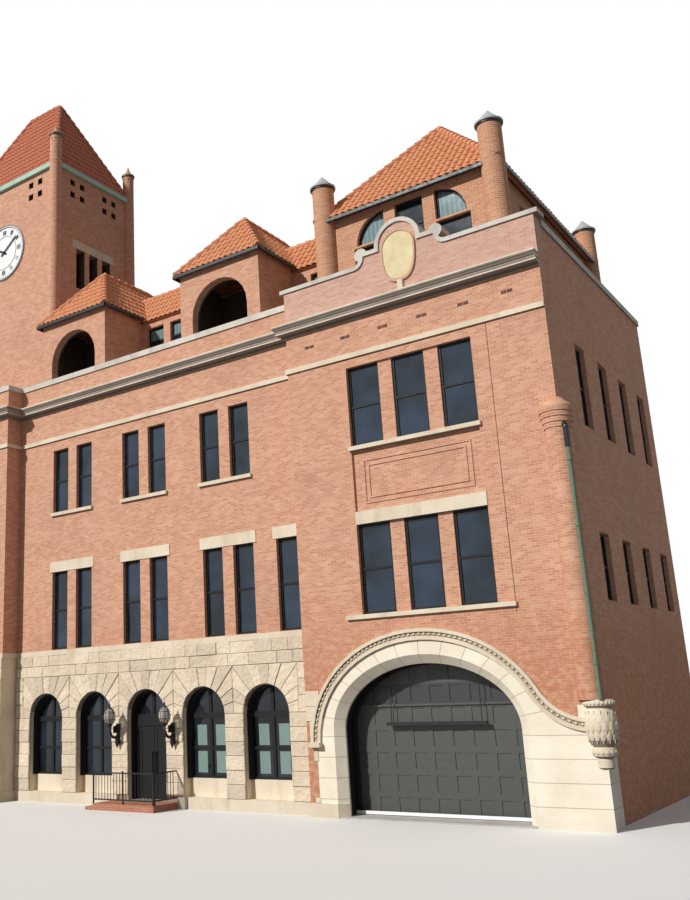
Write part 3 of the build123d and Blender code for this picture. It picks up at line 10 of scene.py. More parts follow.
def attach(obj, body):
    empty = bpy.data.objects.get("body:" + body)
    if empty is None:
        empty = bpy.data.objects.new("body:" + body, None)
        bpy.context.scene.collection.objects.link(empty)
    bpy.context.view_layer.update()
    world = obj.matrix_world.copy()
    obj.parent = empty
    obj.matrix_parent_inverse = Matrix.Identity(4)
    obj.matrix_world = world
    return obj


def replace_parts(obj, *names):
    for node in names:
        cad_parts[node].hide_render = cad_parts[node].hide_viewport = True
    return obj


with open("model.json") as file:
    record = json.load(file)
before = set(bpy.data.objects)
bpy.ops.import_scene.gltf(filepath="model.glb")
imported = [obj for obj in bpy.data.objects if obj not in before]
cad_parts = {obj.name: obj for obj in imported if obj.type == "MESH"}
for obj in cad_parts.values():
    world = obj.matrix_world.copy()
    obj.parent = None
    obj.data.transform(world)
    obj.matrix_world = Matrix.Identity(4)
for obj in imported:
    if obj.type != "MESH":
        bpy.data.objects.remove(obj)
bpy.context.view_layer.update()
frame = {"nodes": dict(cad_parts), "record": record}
nodes = frame["nodes"]
scene = bpy.context.scene
chance = random.Random(7)
print("barn: frame loaded,", len(nodes), "nodes")


# Shader maths: a socket that adds its own maths nodes
class Signal:
    def __init__(self, tree, node, socket):
        self.tree, self.node, self.socket = tree, node, socket

    def other(self, name):
        return Signal(self.tree, self.node, self.node.outputs[name])

    def maths(self, operation, *rest):
        return self.tree.maths(operation, self, *rest)

    def __add__(self, value):
        return self.maths("ADD", value)

    def __sub__(self, value):
        return self.maths("SUBTRACT", value)

    def __rsub__(self, value):
        return self.tree.maths("SUBTRACT", value, self)

    def __mul__(self, value):
        return self.maths("MULTIPLY", value)

    def __truediv__(self, value):
        return self.maths("DIVIDE", value)

    def __gt__(self, value):
        return self.maths("GREATER_THAN", value)

    def __lt__(self, value):
        return self.maths("LESS_THAN", value)

    __radd__ = __add__


class Tree:
    def __init__(self, tree):
        self.tree = tree

    # Any node: its settings, then its sockets
    def add(self, kind, settings=None, sockets=None, out=0):
        node = self.tree.nodes.new(kind)
        for name, value in (settings or {}).items():
            setattr(node, name, value)
        for name, value in (sockets or {}).items():
            self.put(node.inputs[name], value)
        return Signal(self, node, node.outputs[out])

    def put(self, socket, value):
        if isinstance(value, Signal):
            self.tree.links.new(value.socket, socket)
        elif isinstance(value, tuple) and len(value) == 3 and socket.type == "RGBA":
            socket.default_value = (*value, 1)
        else:
            socket.default_value = value

    def maths(self, operation, *values):
        return self.add("ShaderNodeMath", {"operation": operation}, dict(enumerate(values)))

    # Light that the camera sees straight, in a mirror or through glass
    def seenRays(self):
        rays = self.add("ShaderNodeLightPath", out="Is Camera Ray")
        through = rays.maths("MAXIMUM", rays.other("Is Transmission Ray"))
        return through.maths("MAXIMUM", rays.other("Is Glossy Ray"))


class Finish(Tree):
    def __init__(self, name):
        self.material = bpy.data.materials.new(name)
        self.material.use_nodes = True
        super().__init__(self.material.node_tree)
        self.shader = self.tree.nodes["Principled BSDF"]

    def place(self):
        return self.add("ShaderNodeTexCoord", out="Object")

    # X, Y and Z of a vector, or of the place
    def parts(self, vector=None):
        return self.add("ShaderNodeSeparateXYZ", sockets={0: vector or self.place()})

    def facing(self):
        return self.parts(self.add("ShaderNodeNewGeometry", out="True Normal"))

    def chart(self, name):
        return self.add("ShaderNodeUVMap", {"uv_map": name})

    def mix(self, amount, first, second):
        return self.add("ShaderNodeMix", {"data_type": "RGBA"}, {0: amount, 6: first, 7: second}, out=2)

    def noise(self, scale, detail=4, where=None, roughness=0.55):
        return self.add("ShaderNodeTexNoise", sockets={
            "Vector": where or self.place(), "Scale": scale, "Detail": detail, "Roughness": roughness,
        })

    def ramp(self, amount, low, high, start=0.0, end=1.0):
        return self.add("ShaderNodeMapRange", {"clamp": True}, {
            "Value": amount, "From Min": low, "From Max": high, "To Min": start, "To Max": end,
        })

    # Noise cut off at two levels
    def cloud(self, scale, detail, *levels):
        return self.ramp(self.noise(scale, detail), *levels)

    def bump(self, height, distance, strength=0.7):
        self.put(self.shader.inputs["Normal"], self.add("ShaderNodeBump", sockets={
            "Height": height, "Distance": distance, "Strength": strength,
        }))

    def finish(self, colour, roughness, **rest):
        self.put(self.shader.inputs["Base Color"], colour)
        self.put(self.shader.inputs["Roughness"], roughness)
        for name, value in rest.items():
            self.put(self.shader.inputs[name.replace("_", " ")], value)
        return self.material


# Along the wall and up it, whichever way the wall faces
def wallPlace(finish, square=0.7):
    spot, facing = finish.parts(), finish.facing()
    across = facing.maths("ABSOLUTE") > square
    flat = facing.other("Z").maths("ABSOLUTE") > square
    along = spot + across * (spot.other("Y") - spot)
    up = spot.other("Z") + flat * (spot.other("Y") - spot.other("Z"))
    return finish.add("ShaderNodeCombineXYZ", sockets={0: along, 1: up})


# The black colour is painted shade, laid inside the loggias and the tower openings
brick = {
    "length": 0.212, "course": 0.0677, "joint": 0.012, "lowHeights": (3.5, 6.2), "hollow": 0.93,
    "light": (0.69, 0.37, 0.24), "dark": (0.52, 0.225, 0.13), "mortar": (0.72, 0.54, 0.42),
    "soot": (0.27, 0.15, 0.11), "low": (0.46, 0.18, 0.09), "black": (0.018, 0.012, 0.01),
}


def brickFinish(name, light=brick["light"], dark=brick["dark"], own=False, hollow=None):
    finish = Finish(name)
    laid = finish.add("ShaderNodeTexBrick", {"offset": 0.5}, {
        "Vector": finish.chart("unrolled") if own else wallPlace(finish), "Color1": light, "Color2": dark,
        "Mortar": brick["mortar"], "Scale": 1.0, "Mortar Size": brick["joint"] / 2, "Mortar Smooth": 0.2,
        "Bias": 0.0, "Brick Width": brick["length"], "Row Height": brick["course"],
    })
    mottled = finish.mix(finish.cloud(2.3, 4, 0.4, 0.75, 0, 0.3), laid, dark)
    spot = finish.parts()
    low = finish.ramp(spot.other("Z"), *brick["lowHeights"], 0.8, 0) * finish.cloud(6, 3, 0.4, 0.6, 0.25, 1)
    browned = finish.mix(low, mottled, brick["low"])
    weathered = finish.mix(finish.cloud(0.35, 5, 0.52, 0.8, 0, 0.3), browned, brick["soot"])
    if hollow:  # painted shade: the brick goes near black inside the loggias and the tower openings, where shade falls
        front, back = hollow["y"]
        inside = (spot.other("Y") > front) * (spot.other("Y") < back) * (spot.other("Z") < hollow["top"])
        near = sum((spot - middle).maths("ABSOLUTE") < hollow["half"] for middle in hollow["x"])
        weathered = finish.mix(inside * near * brick["hollow"], weathered, brick["black"])
    finish.bump(1 - laid.other("Fac") + finish.noise(60) * 0.25, 0.006, 0.6)
    return finish.finish(weathered, finish.cloud(9, 4, 0.3, 0.7, 0.78, 0.92))


# The under and cove tones are soot and painted shade, laid under the ledges and in the cornice coves
limestone = {
    "light": (0.86, 0.74, 0.57), "dark": (0.68, 0.56, 0.42), "stain": (0.43, 0.35, 0.27),
    "grey": (0.57, 0.48, 0.38), "mortar": (0.3, 0.24, 0.18), "under": (0.13, 0.1, 0.08),
    "cove": (0.12, 0.09, 0.075), "streaks": (0.35, 0.35, 2.2),
}


def stoneFinish(
    name, grain, deep, light=limestone["light"], dark=limestone["dark"], stain=limestone["stain"],
    bed=None, fillets=None, toned=False,
):
    finish = Finish(name)
    stone = finish.mix(finish.cloud(0.9, 6, 0.35, 0.7), light, dark)
    if toned:  # each laid stone holds its own tone in a UV map
        tone = finish.parts(finish.chart("tone"))
        stone = finish.mix(finish.ramp(tone, 0.45, 1, 0, 0.7), stone, limestone["grey"])
    stone = finish.mix(finish.cloud(14, 5, 0.55, 0.8, 0, 0.35), stone, stain)
    drawn = finish.add("ShaderNodeMapping", {"vector_type": "TEXTURE"}, {
        "Vector": finish.place(), "Scale": limestone["streaks"],
    })
    stone = finish.mix(finish.ramp(finish.noise(1.0, 4, drawn), 0.52, 0.8, 0, 0.5), stone, stain)
    spot, facing = finish.parts(), finish.facing()
    stone = finish.mix((facing.other("Z") < -0.3) * 0.75, stone, limestone["under"])  # soot and painted shade under the ledges: faces that look down go dark
    if fillets:  # dirt and painted shade in the coves between the fillets
        foot, pitch = fillets
        cove = ((spot.other("Z") - foot) / pitch).maths("PINGPONG", 0.5) > 0.27
        stone = finish.mix(cove * (facing.other("Z") < 0.5) * 0.8, stone, limestone["cove"])
    if bed is not None:  # mortar on the face that the blocks stand on
        stone = finish.mix(spot.other("Y") < bed, stone, limestone["mortar"])
    finish.bump(finish.noise(grain, 6), deep)
    return finish.finish(stone, finish.cloud(7, 4, 0.3, 0.7, 0.72, 0.9))


plaque = {
    "x": 9.75, "spring": 16.03, "half": 0.56, "drop": 1.09, "fullness": 2.7, "rim": 0.9, "pink": (0.6, 0.36, 0.27),
}


def plaqueFinish(name, light, dark):
    finish = Finish(name)
    spot = finish.parts()
    side = (spot - plaque["x"]).maths("ABSOLUTE") / plaque["half"]
    height = spot.other("Z") - plaque["spring"]
    above, rise = height > 0, height / plaque["half"]
    pastHead = (side * side + rise * rise) > plaque["rim"] ** 2
    fall = (height.maths("ABSOLUTE") / plaque["drop"]).maths("POWER", plaque["fullness"])
    pastFoot = (side.maths("POWER", plaque["fullness"]) + fall) > plaque["rim"] ** plaque["fullness"]
    rim = above * pastHead + (1 - above) * pastFoot
    finish.bump(finish.noise(30, 6), 0.004)
    return finish.finish(finish.mix(rim, finish.mix(finish.cloud(3, 6, 0.35, 0.7), light, dark), plaque["pink"]), 0.85)


def plainFinish(name, colour, worn, roughness, scale=18, band=None, **rest):
    finish = Finish(name)
    tone = finish.mix(finish.cloud(scale, 5, 0.45, 0.75, 0, 0.6), colour, worn)
    if band:  # a darker row
        height = finish.parts().other("Z")
        tone = finish.mix((height > band["foot"]) * (height < band["top"]) * band["share"], tone, band["colour"])
    finish.bump(finish.noise(scale * 5), 0.001, 0.3)
    rough = finish.cloud(scale / 2, 4, 0.3, 0.7, roughness - 0.08, roughness + 0.1)
    return finish.finish(tone, rough, **rest)


# Fired tiles with painted shade in the hollows between the rolls, told by their UV map
def tileFinish(name, colour, worn, hollowShade):
    finish = Finish(name)
    tone = finish.mix(finish.cloud(3, 5, 0.45, 0.75, 0, 0.6), colour, worn)
    # painted shade: the tile darkens in the hollows between the rolls
    hollows = finish.ramp(finish.parts(finish.chart("roll")), 0.05, 0.55, 0.8, 0)
    finish.bump(finish.noise(15), 0.001, 0.3)
    return finish.finish(finish.mix(hollows, tone, hollowShade), 0.8)


def glassFinish(name, sky, deep, high=None):
    finish = Finish(name)
    # painted reflection: the glass colour drifts in patches from the deep tone to a lighter, bluer sky tone
    tone = finish.mix(finish.cloud(0.7, 3, 0.38, 0.66), deep, sky)
    if high:  # pale curtains behind the quarter panes of the penthouse
        spot = finish.parts()
        folds = finish.ramp((spot * high["folds"]).maths("SINE"), -1, 1, 0.65, 1)
        quarter = (spot.other("Z") > high["z"]) * ((spot - high["x"]).maths("ABSOLUTE") > high["half"])
        tone = finish.mix(quarter * folds, tone, high["pale"])
    return finish.finish(tone, finish.cloud(1.3, 4, 0.3, 0.7, 0.04, 0.09), Specular_IOR_Level=0.45)


# Arch stones: joints that follow the arch over its spring, level courses under it
arch = {"x": 9.325, "spring": 2.15, "half": 3.06, "rise": 2.36, "stones": 14, "course": 0.55, "joint": 0.014}


def archFinish(name, light, dark):
    finish = Finish(name)
    spot = finish.parts()
    height = spot.other("Z") - arch["spring"]
    turn = (height / arch["rise"]).maths("ARCTAN2", (spot - arch["x"]) / arch["half"]) * (arch["stones"] / math.pi)
    above = height > 0
    place = above * turn + (1 - above) * (height / arch["course"])
    joint = place.maths("PINGPONG", 0.5) < arch["joint"]
    toned = finish.add("ShaderNodeTexWhiteNoise", {"noise_dimensions": "1D"}, {"W": place.maths("FLOOR")})
    stone = finish.mix(toned * 0.28, finish.mix(finish.cloud(1.4, 6, 0.35, 0.7), light, dark), dark)
    stone = finish.mix(finish.cloud(20, 5, 0.55, 0.8, 0, 0.3), stone, limestone["stain"])
    finish.bump((1 - joint) + finish.noise(30, 6) * 0.25, 0.012)
    return finish.finish(finish.mix(joint * 0.6, stone, limestone["mortar"]), 0.82)


# Plain finishes by name: colour, worn colour, roughness and scale
plain = {
    "roof_tile": ("terracotta_tile", (0.6, 0.235, 0.12), (0.4, 0.14, 0.075), 0.75, 3),
    "tower_tile": ("tower_terracotta", (0.46, 0.15, 0.085), (0.3, 0.09, 0.055), 0.75, 3),
    "hip_cap": ("terracotta_cap", (0.62, 0.26, 0.14), (0.42, 0.16, 0.09), 0.75, 4),
    "blind": ("window_blind", (0.18, 0.27, 0.25), (0.14, 0.22, 0.2), 0.5, 4),
    # groove: a darker stone tone, painted shade in the groove of the label moulding
    "groove": ("moulding_groove", (0.4, 0.33, 0.25), (0.28, 0.22, 0.17), 0.85, 9),
    "white_paint": ("dial_white", (0.86, 0.88, 0.9), (0.74, 0.76, 0.78), 0.4, 6),
    "copper": ("green_copper", (0.36, 0.56, 0.46), (0.22, 0.4, 0.34), 0.6, 5),
    "lead": ("cap_lead", (0.42, 0.44, 0.45), (0.28, 0.29, 0.3), 0.5, 9),
    "cap_clay": ("cap_terracotta", (0.5, 0.33, 0.22), (0.33, 0.2, 0.13), 0.8, 9),
    "dial_mark": ("dial_mark_grey", (0.13, 0.14, 0.16), (0.2, 0.21, 0.23), 0.6, 9),
    "vent_brown": ("vent_brown", (0.12, 0.06, 0.04), (0.07, 0.035, 0.025), 0.8, 20),
}
# The same, and gloss
dull = {
    "black_paint": ("black_joinery_paint", (0.014, 0.015, 0.018), (0.024, 0.024, 0.026), 0.5, 30, 0.15),
    "black_metal": ("black_iron", (0.014, 0.014, 0.016), (0.03, 0.029, 0.028), 0.42, 30, 0.3),
    "pipe_green": ("downspout_green", (0.15, 0.22, 0.165), (0.06, 0.09, 0.07), 0.5, 12, 0.3),
}
penthouse = {"light": (0.6, 0.3, 0.16), "dark": (0.46, 0.2, 0.1)}
materials = {
    **{slot: plainFinish(*values) for slot, values in plain.items()},
    **{slot: plainFinish(*values[:-1], Specular_IOR_Level=values[-1]) for slot, values in dull.items()},
    "globe": plainFinish(
        "lantern_glass", (0.74, 0.72, 0.66), (0.58, 0.57, 0.52), 0.15, 6, Transmission_Weight=0.6, Alpha=0.8
    ),
    "garage_grey": plainFinish(
        "garage_grey_paint", (0.062, 0.065, 0.06), (0.045, 0.048, 0.044), 0.5, 8,
        {"foot": 2.96, "top": 3.5, "share": 0.75, "colour": (0.01, 0.01, 0.012)},
    ),
    # The third colour of each rolled tile is the painted shade in its hollows
    "rolled_tile": tileFinish("rolled_terracotta", (0.76, 0.34, 0.165), (0.56, 0.22, 0.105), (0.24, 0.07, 0.035)),
    "rolled_tower_tile": tileFinish(
        "rolled_tower_terracotta", (0.61, 0.2, 0.107), (0.45, 0.135, 0.075), (0.15, 0.04, 0.022)
    ),
    "brick": brickFinish("facing_brick"),
    "paver_brick": brickFinish("paver_brick", (0.5, 0.2, 0.14), (0.34, 0.12, 0.09)),
    "brick_round": brickFinish("wrapped_brick", own=True),
    "gable_brick": brickFinish("gable_brick", (0.66, 0.41, 0.33), (0.52, 0.29, 0.23)),
    "penthouse_brick": brickFinish("penthouse_brick", **penthouse),
    "penthouse_round": brickFinish("penthouse_wrapped_brick", **penthouse, own=True),
    # The loggia and tower bricks carry painted shade inside their openings
    "loggia_brick": brickFinish(
        "loggia_brick", hollow={"x": (-4.33, 2.79), "half": 1.5, "y": (-4.7, 1.0), "top": 17.8}
    ),
    "tower_brick": brickFinish("tower_brick", hollow={"x": (-10.5,), "half": 3.27, "y": (-3.35, 1.25), "top": 40}),
    "rough_limestone": stoneFinish("rock_faced_limestone", 7, 0.09, toned=True),
    "wing_bed": stoneFinish("wing_stone_bed", 9, 0.03, bed=-4.996),
    "tower_bed": stoneFinish("tower_stone_bed", 9, 0.03, bed=-5.696),
    "smooth_limestone": stoneFinish("dressed_limestone", 30, 0.004, (0.78, 0.69, 0.55), (0.66, 0.56, 0.42)),
    "cornice_stone": stoneFinish(
        "cornice_limestone", 30, 0.004, (0.8, 0.72, 0.61), (0.62, 0.54, 0.44), fillets=(14.13, 0.145)
    ),
    "weathered_stone": stoneFinish(
        "coping_limestone", 30, 0.006, (0.72, 0.68, 0.62), (0.5, 0.47, 0.42), (0.3, 0.28, 0.25)
    ),
    "concrete": stoneFinish("floor_concrete", 20, 0.003, (0.55, 0.53, 0.5), (0.45, 0.43, 0.4), (0.3, 0.29, 0.27)),
    "arch_stone": archFinish("arch_limestone", (0.93, 0.86, 0.73), (0.8, 0.72, 0.59)),
    "cream_stone": plaqueFinish("cream_stone", (0.78, 0.68, 0.43), (0.66, 0.54, 0.32)),
    "glass": glassFinish("window_glass", (0.022, 0.045, 0.08), (0.006, 0.012, 0.02), {
        "x": 9.68, "half": 0.75, "z": 16.9, "folds": 40, "pale": (0.2, 0.31, 0.34),
    }),
    "dark_glass": glassFinish("street_glass", (0.02, 0.028, 0.042), (0.006, 0.007, 0.01)),
}
special = {
    "garage_door": "garage_grey", "garage_arch": "arch_stone", "tower_base_wall": "tower_bed",
    "front_wall_left": "wing_bed", "front_wall_right": "wing_bed", "wall_over_door": "wing_bed",
    "tower_roof": "tower_tile", "main_cornice": "cornice_stone", "gable_coping": "weathered_stone",
    "parapet_coping": "weathered_stone", "downspout": "pipe_green", "ground_window_glass": "dark_glass",
    "pavilion_gable": "gable_brick", "penthouse_walls": "penthouse_brick", "loggia_walls": "loggia_brick",
    "attic_walls": "loggia_brick", "tower_walls": "tower_brick",
}
slotOf = {part["node"]: part["material_slot"] for part in frame["record"]["subparts"]}
for name, node in nodes.items():
    node.data.materials.clear()
    node.data.materials.append(materials[special.get(name, slotOf[name])])
print("barn: finishes ready")


def weld(mesh):
    bmesh.ops.remove_doubles(mesh, verts=mesh.verts, dist=0.0002)


def placed(mesh, name, material):
    data = bpy.data.meshes.new(name)
    mesh.to_mesh(data)
    mesh.free()
    data.materials.append(material)
    piece = bpy.data.objects.new(name, data)
    scene.collection.objects.link(piece)
    return piece


# A finished piece: turned outwards, given its finish and its body
def keep(mesh, name, slot, finish=None, body="building", smooth=False):
    bmesh.ops.recalc_face_normals(mesh, faces=mesh.faces)
    for face in mesh.faces:
        face.smooth = smooth
    piece = placed(mesh, name, materials[finish or slot])
    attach(piece, body)
    return piece


# A block from corner to corner, with its edges eased
def eased(mesh, low, high, ease=0.01):
    low, high = Vector(low), Vector(high)
    made = bmesh.ops.create_cube(
        mesh, size=1, matrix=Matrix.Translation((low + high) / 2) @ Matrix.Diagonal((*(high - low), 1))
    )["verts"]
    if ease:
        edges = list({edge for vert in made for edge in vert.link_edges})
        bmesh.ops.bevel(mesh, geom=edges, offset=ease, affect="EDGES", segments=1, profile=0.5, material=-1)


# A form turned about an upright axis, from its radii and heights
def turned(mesh, outline, x, y, steps):
    spots = [mesh.verts.new((x + radius, y, height)) for radius, height in outline]
    edges = [mesh.edges.new(pair) for pair in zip(spots, spots[1:])]
    bmesh.ops.spin(
        mesh, geom=spots + edges, cent=(x, y, 0), axis=(0, 0, 1), angle=math.tau, steps=steps, use_merge=True
    )


# A point at a turn about an upright axis
def about(x, y, radius, turn, height):
    return Vector((x + radius * math.cos(turn), y + radius * math.sin(turn), height))


# Turns in even steps all the way round
def allRound(count, shift=0):
    return [math.tau * (number + shift) / count for number in range(count)]


# The corners, edges or faces among the parts that an operator gives back
def only(kind, parts):
    return [part for part in parts if isinstance(part, kind)]


vertKind, edgeKind, faceKind = bmesh.types.BMVert, bmesh.types.BMEdge, bmesh.types.BMFace


# A rod between two points
def rod(mesh, start, end, radius, sides=8, taper=1.0):
    start, end = Vector(start), Vector(end)
    way = end - start
    bmesh.ops.create_cone(
        mesh, cap_ends=True, segments=sides, radius1=radius, radius2=radius * taper, depth=way.length,
        matrix=Matrix.Translation((start + end) / 2) @ way.to_track_quat("Z", "Y").to_matrix().to_4x4(),
    )


def chain(mesh, spots, radius, sides):
    for first, second in zip(spots, spots[1:]):
        rod(mesh, first, second, radius, sides)


# Joins a finished part of a piece to the rest of it
def pour(part, mesh):
    data = bpy.data.meshes.new("part")
    part.to_mesh(data)
    part.free()
    mesh.from_mesh(data)
    bpy.data.meshes.remove(data)


# Rolled tiles on the hip roofs
tile = {
    "width": 0.24, "course": 0.40, "steps": 6, "roll": 0.055, "lift": 0.03, "sag": 0.006, "clear": 0.004,
    "cap": 0.125, "capLength": 0.44, "capLap": 0.05, "capFoot": 0.035, "capHead": 0.01, "capTaper": 0.82,
}
roofs = {
    "tower": {"x": (-13.8, -7.2), "y": (-3.38, 1.28), "z": (26.52, 31.45), "run": (2.3, 2.33)},
    "penthouse": {"x": (6.57, 12.79), "y": (-4.63, 4.78), "z": (18.15, 22.1), "run": (3.11, 3.53)},
    "left_loggia": {"x": (-6.16, -2.5), "y": (-5.13, 1.37), "z": (17.85, 20.13), "run": (1.83, 1.83)},
    "right_loggia": {"x": (0.96, 4.62), "y": (-5.13, 1.37), "z": (17.85, 20.13), "run": (1.83, 1.83)},
}


def tileSlope(mesh, low, high, rise, cuts):
    along = high - low
    span = along.length
    along.normalize()
    up = rise.normalized()
    out = along.cross(up)
    columns = max(1, round(span / tile["width"]))
    across = columns * tile["steps"]
    rows = 2 * math.ceil(rise.length / tile["course"]) - 1
    slope = bmesh.new()
    bmesh.ops.create_grid(slope, x_segments=across, y_segments=rows, size=0.5)
    sag = [chance.uniform(-tile["sag"], tile["sag"]) for column in range(columns + 1)]
    layer, rolls = slope.loops.layers.uv.new("roll"), {}
    for vert in slope.verts:
        column, row = round((vert.co.x + 0.5) * across), round((vert.co.y + 0.5) * rows)
        reach = min((row + 1) // 2 * tile["course"], rise.length)
        rolls[vert] = 0.5 - 0.5 * math.cos(math.tau * column / tile["steps"])
        height = tile["roll"] * rolls[vert] + tile["clear"]
        height += 0 if row % 2 else tile["lift"]
        height += sag[column // tile["steps"]] * (column % tile["steps"] > 0)
        vert.co = low + along * (span * column / across) + up * reach + out * height
    for face in slope.faces:
        for loop in face.loops:
            loop[layer].uv = (rolls[loop.vert], 0.5)
    for point, normal in cuts:
        geom = slope.verts[:] + slope.edges[:] + slope.faces[:]
        bmesh.ops.bisect_plane(slope, geom=geom, dist=0.0001, plane_co=point, plane_no=normal, clear_outer=True)
    pour(slope, mesh)


# Half-round caps that lap up a hip or along a ridge
def capLine(mesh, start, end):
    way = end - start
    count = max(1, round(way.length / (tile["capLength"] - tile["capLap"])))
    for number in range(count):
        foot = start + way * (number / count)
        head = start + way * min((number + 1) / count + tile["capLap"] / way.length, 1)
        foot.z += tile["capFoot"]
        head.z += tile["capHead"]
        rod(mesh, foot, head, tile["cap"], 10, tile["capTaper"])


def around(x0, x1, y0, y1, z):
    return [Vector(spot) for spot in ((x0, y0, z), (x1, y0, z), (x1, y1, z), (x0, y1, z))]


for name, roof in roofs.items():
    (x0, x1), (y0, y1), (foot, head), (runX, runY) = roof["x"], roof["y"], roof["z"], roof["run"]
    corners, apexes = around(x0, x1, y0, y1, foot), around(x0 + runX, x1 - runX, y0 + runY, y1 - runY, head)
    tiles, caps = bmesh.new(), bmesh.new()
    for side in range(4):
        low, high = corners[side], corners[(side + 1) % 4]
        along = (high - low).normalized()
        inward = Vector((-along.y, along.x, 0))
        rise = inward * (runX if side % 2 else runY) + Vector((0, 0, head - foot))
        cuts = []
        for corner, apex in ((low, apexes[side]), (high, apexes[(side + 1) % 4])):
            hip = apex - corner
            away = Vector((-hip.y, hip.x, 0))
            if away.dot((low + high) / 2 - corner) > 0:
                away = -away
            cuts.append((corner, away))
        tileSlope(tiles, low, high, rise, cuts)
        capLine(caps, low, apexes[side])
    for side in range(2):
        if (apexes[side + 1] - apexes[side]).length > 0.3:
            capLine(caps, apexes[side], apexes[side + 1])
    fired, cap = ("rolled_tower_tile", "tower_tile") if name == "tower" else ("rolled_tile", "hip_cap")
    keep(tiles, name + "_roof_tiles", "roof_tile", fired)
    keep(caps, name + "_hip_caps", "roof_tile", cap)

attic = {"x": (-7.2, 6.8), "y": (-3.0, 1.6), "z": (17.65, 19.2), "run": 1.25}
tiles, caps = bmesh.new(), bmesh.new()
(x0, x1), (y0, y1), (foot, head), run = attic["x"], attic["y"], attic["z"], attic["run"]
corners, apexes = around(x0, x1, y0, y1, foot), around(x0, x1, y0 + run, y1 - run, head)
for side in (0, 2):
    tileSlope(tiles, corners[side], corners[side + 1], apexes[side] - corners[side], [])
for start, end in ((0, 1), (3, 2)):
    capLine(caps, apexes[start], apexes[end])
keep(tiles, "attic_roof_tiles", "roof_tile", "rolled_tile")
keep(caps, "attic_ridge_caps", "roof_tile", "hip_cap")
print("barn: roofs tiled")


# Gutters under the eaves
gutter = {"deep": 0.13, "out": 0.07, "over": 0.02, "ease": 0.025, "short": 0.15, "loggiaBack": -3.05}
gutters = bmesh.new()
for name in ("penthouse", "left_loggia", "right_loggia"):
    (x0, x1), (y0, y1), (foot, head) = (roofs[name][key] for key in "xyz")
    out, short, low, top = gutter["out"], gutter["short"], foot - gutter["deep"], foot + gutter["over"]
    full = name == "penthouse"
    back, end = (y1 - short, -short) if full else (gutter["loggiaBack"], out)
    runs = [
        ((x0 - end, y0 - out), (x1 + end, y0)), ((x0 - out, y0 - end), (x0, back)), ((x1, y0 - end), (x1 + out, back)),
    ]
    if full:
        runs.append(((x0 + short, y1), (x1 - short, y1 + out)))
    for near, far in runs:
        eased(gutters, (*near, low), (*far, top), gutter["ease"])
keep(gutters, "eaves_gutters", "black_metal")


# Laid limestone of the street storey: courses on the piers, long voussoirs round the arches
ashlar = {
    "foot": 0.35, "spring": 2.82, "ringTop": 4.25, "top": 4.985, "radius": 0.845,
    "course": 0.4117, "voussoirs": 11, "gap": 0.03, "edge": 0.02, "proud": (0.04, 0.07), "least": 0.3,
    "swell": 0.006, "wave": 9, "tilt": 0.3,
}


def stone(mesh, corners, y):
    proud = chance.uniform(*ashlar["proud"])
    block = bmesh.new()
    layer = block.loops.layers.uv.new("tone")
    face = block.faces.new([block.verts.new((x, y, z)) for x, z in corners])
    rim = bmesh.ops.inset_region(block, faces=[face], thickness=ashlar["gap"] / 2, use_even_offset=True)["faces"]
    bmesh.ops.delete(block, geom=rim, context="FACES")
    raised = bmesh.ops.extrude_face_region(block, geom=[face], use_keep_orig=True)["geom"]
    bmesh.ops.translate(block, vec=(0, -proud + ashlar["edge"], 0), verts=only(vertKind, raised))
    front = only(faceKind, raised)
    bmesh.ops.inset_region(block, faces=front, thickness=ashlar["edge"], depth=0, use_even_offset=True)
    lean, rise = (ashlar["wave"] * chance.uniform(-ashlar["tilt"], ashlar["tilt"]) for way in range(2))
    for vert in front[0].verts:
        vert.co.y -= ashlar["edge"] + ashlar["swell"] * math.sin(vert.co.x * lean + vert.co.z * rise)
    tone = chance.random()
    for part in block.faces:
        for loop in part.loops:
            loop[layer].uv = (tone, 0.5)
    pour(block, mesh)


def coursed(mesh, x0, x1, z0, z1, y, lengths=(0.45, 0.95)):
    rows = max(1, round((z1 - z0) / ashlar["course"]))
    for row in range(rows):
        low, high = z0 + (z1 - z0) * row / rows, z0 + (z1 - z0) * (row + 1) / rows
        x = x0
        while x < x1 - 0.01:
            end = x + chance.uniform(*lengths)
            if end > x1 - ashlar["least"]:
                end = x1
            stone(mesh, [(x, low), (end, low), (end, high), (x, high)], y)
            x = end


def ring(mesh, middle, half, y):
    spring, top, radius = ashlar["spring"], ashlar["ringTop"], ashlar["radius"]
    turns = [math.pi * step / ashlar["voussoirs"] for step in range(ashlar["voussoirs"] + 1)]
    corner = math.atan2(top - spring, half)

    def edge(turn):
        if turn < corner or turn > math.pi - corner:
            x = half if turn < math.pi / 2 else -half
            return middle + x, spring + abs(x * math.tan(turn))
        return middle + (top - spring) / math.tan(turn), top

    for first, last in zip(turns, turns[1:]):
        inner = [first, (first + last) / 2, last]
        points = [(middle + radius * math.cos(turn), spring + radius * math.sin(turn)) for turn in inner[::-1]]
        points.append(edge(first))
        for turn, x in ((corner, half), (math.pi - corner, -half)):
            if first < turn < last:
                points.append((middle + x, top))
        points.append(edge(last))
        stone(mesh, points, y)


facings = {
    "wing_stone_facing": (-5.0, (-7.17, 5.66), (-5.57, -3.17, -0.77, 1.63, 4.03), 1.2),
    "tower_stone_facing": (-5.7, (-13.8, -7.2), (-11.8, -9.2), 1.3),
}
for name, (y, ends, bays, half) in facings.items():
    facing = bmesh.new()
    spring, top = ashlar["spring"], ashlar["ringTop"]
    edges = [ends[0]] + [bay + side * ashlar["radius"] for bay in bays for side in (-1, 1)] + [ends[1]]
    for first, last in zip(edges[::2], edges[1::2]):
        coursed(facing, first, last, ashlar["foot"], spring, y, (0.9, 1.2))
    for bay in bays:
        ring(facing, bay, half, y)
    for first, last in ((ends[0], bays[0] - half), (bays[-1] + half, ends[1])):
        coursed(facing, first, last, spring, top, y)
    coursed(facing, *ends, top, ashlar["top"], y, (0.5, 1.1))
    keep(facing, name, "rough_limestone")
print("barn: limestone laid")


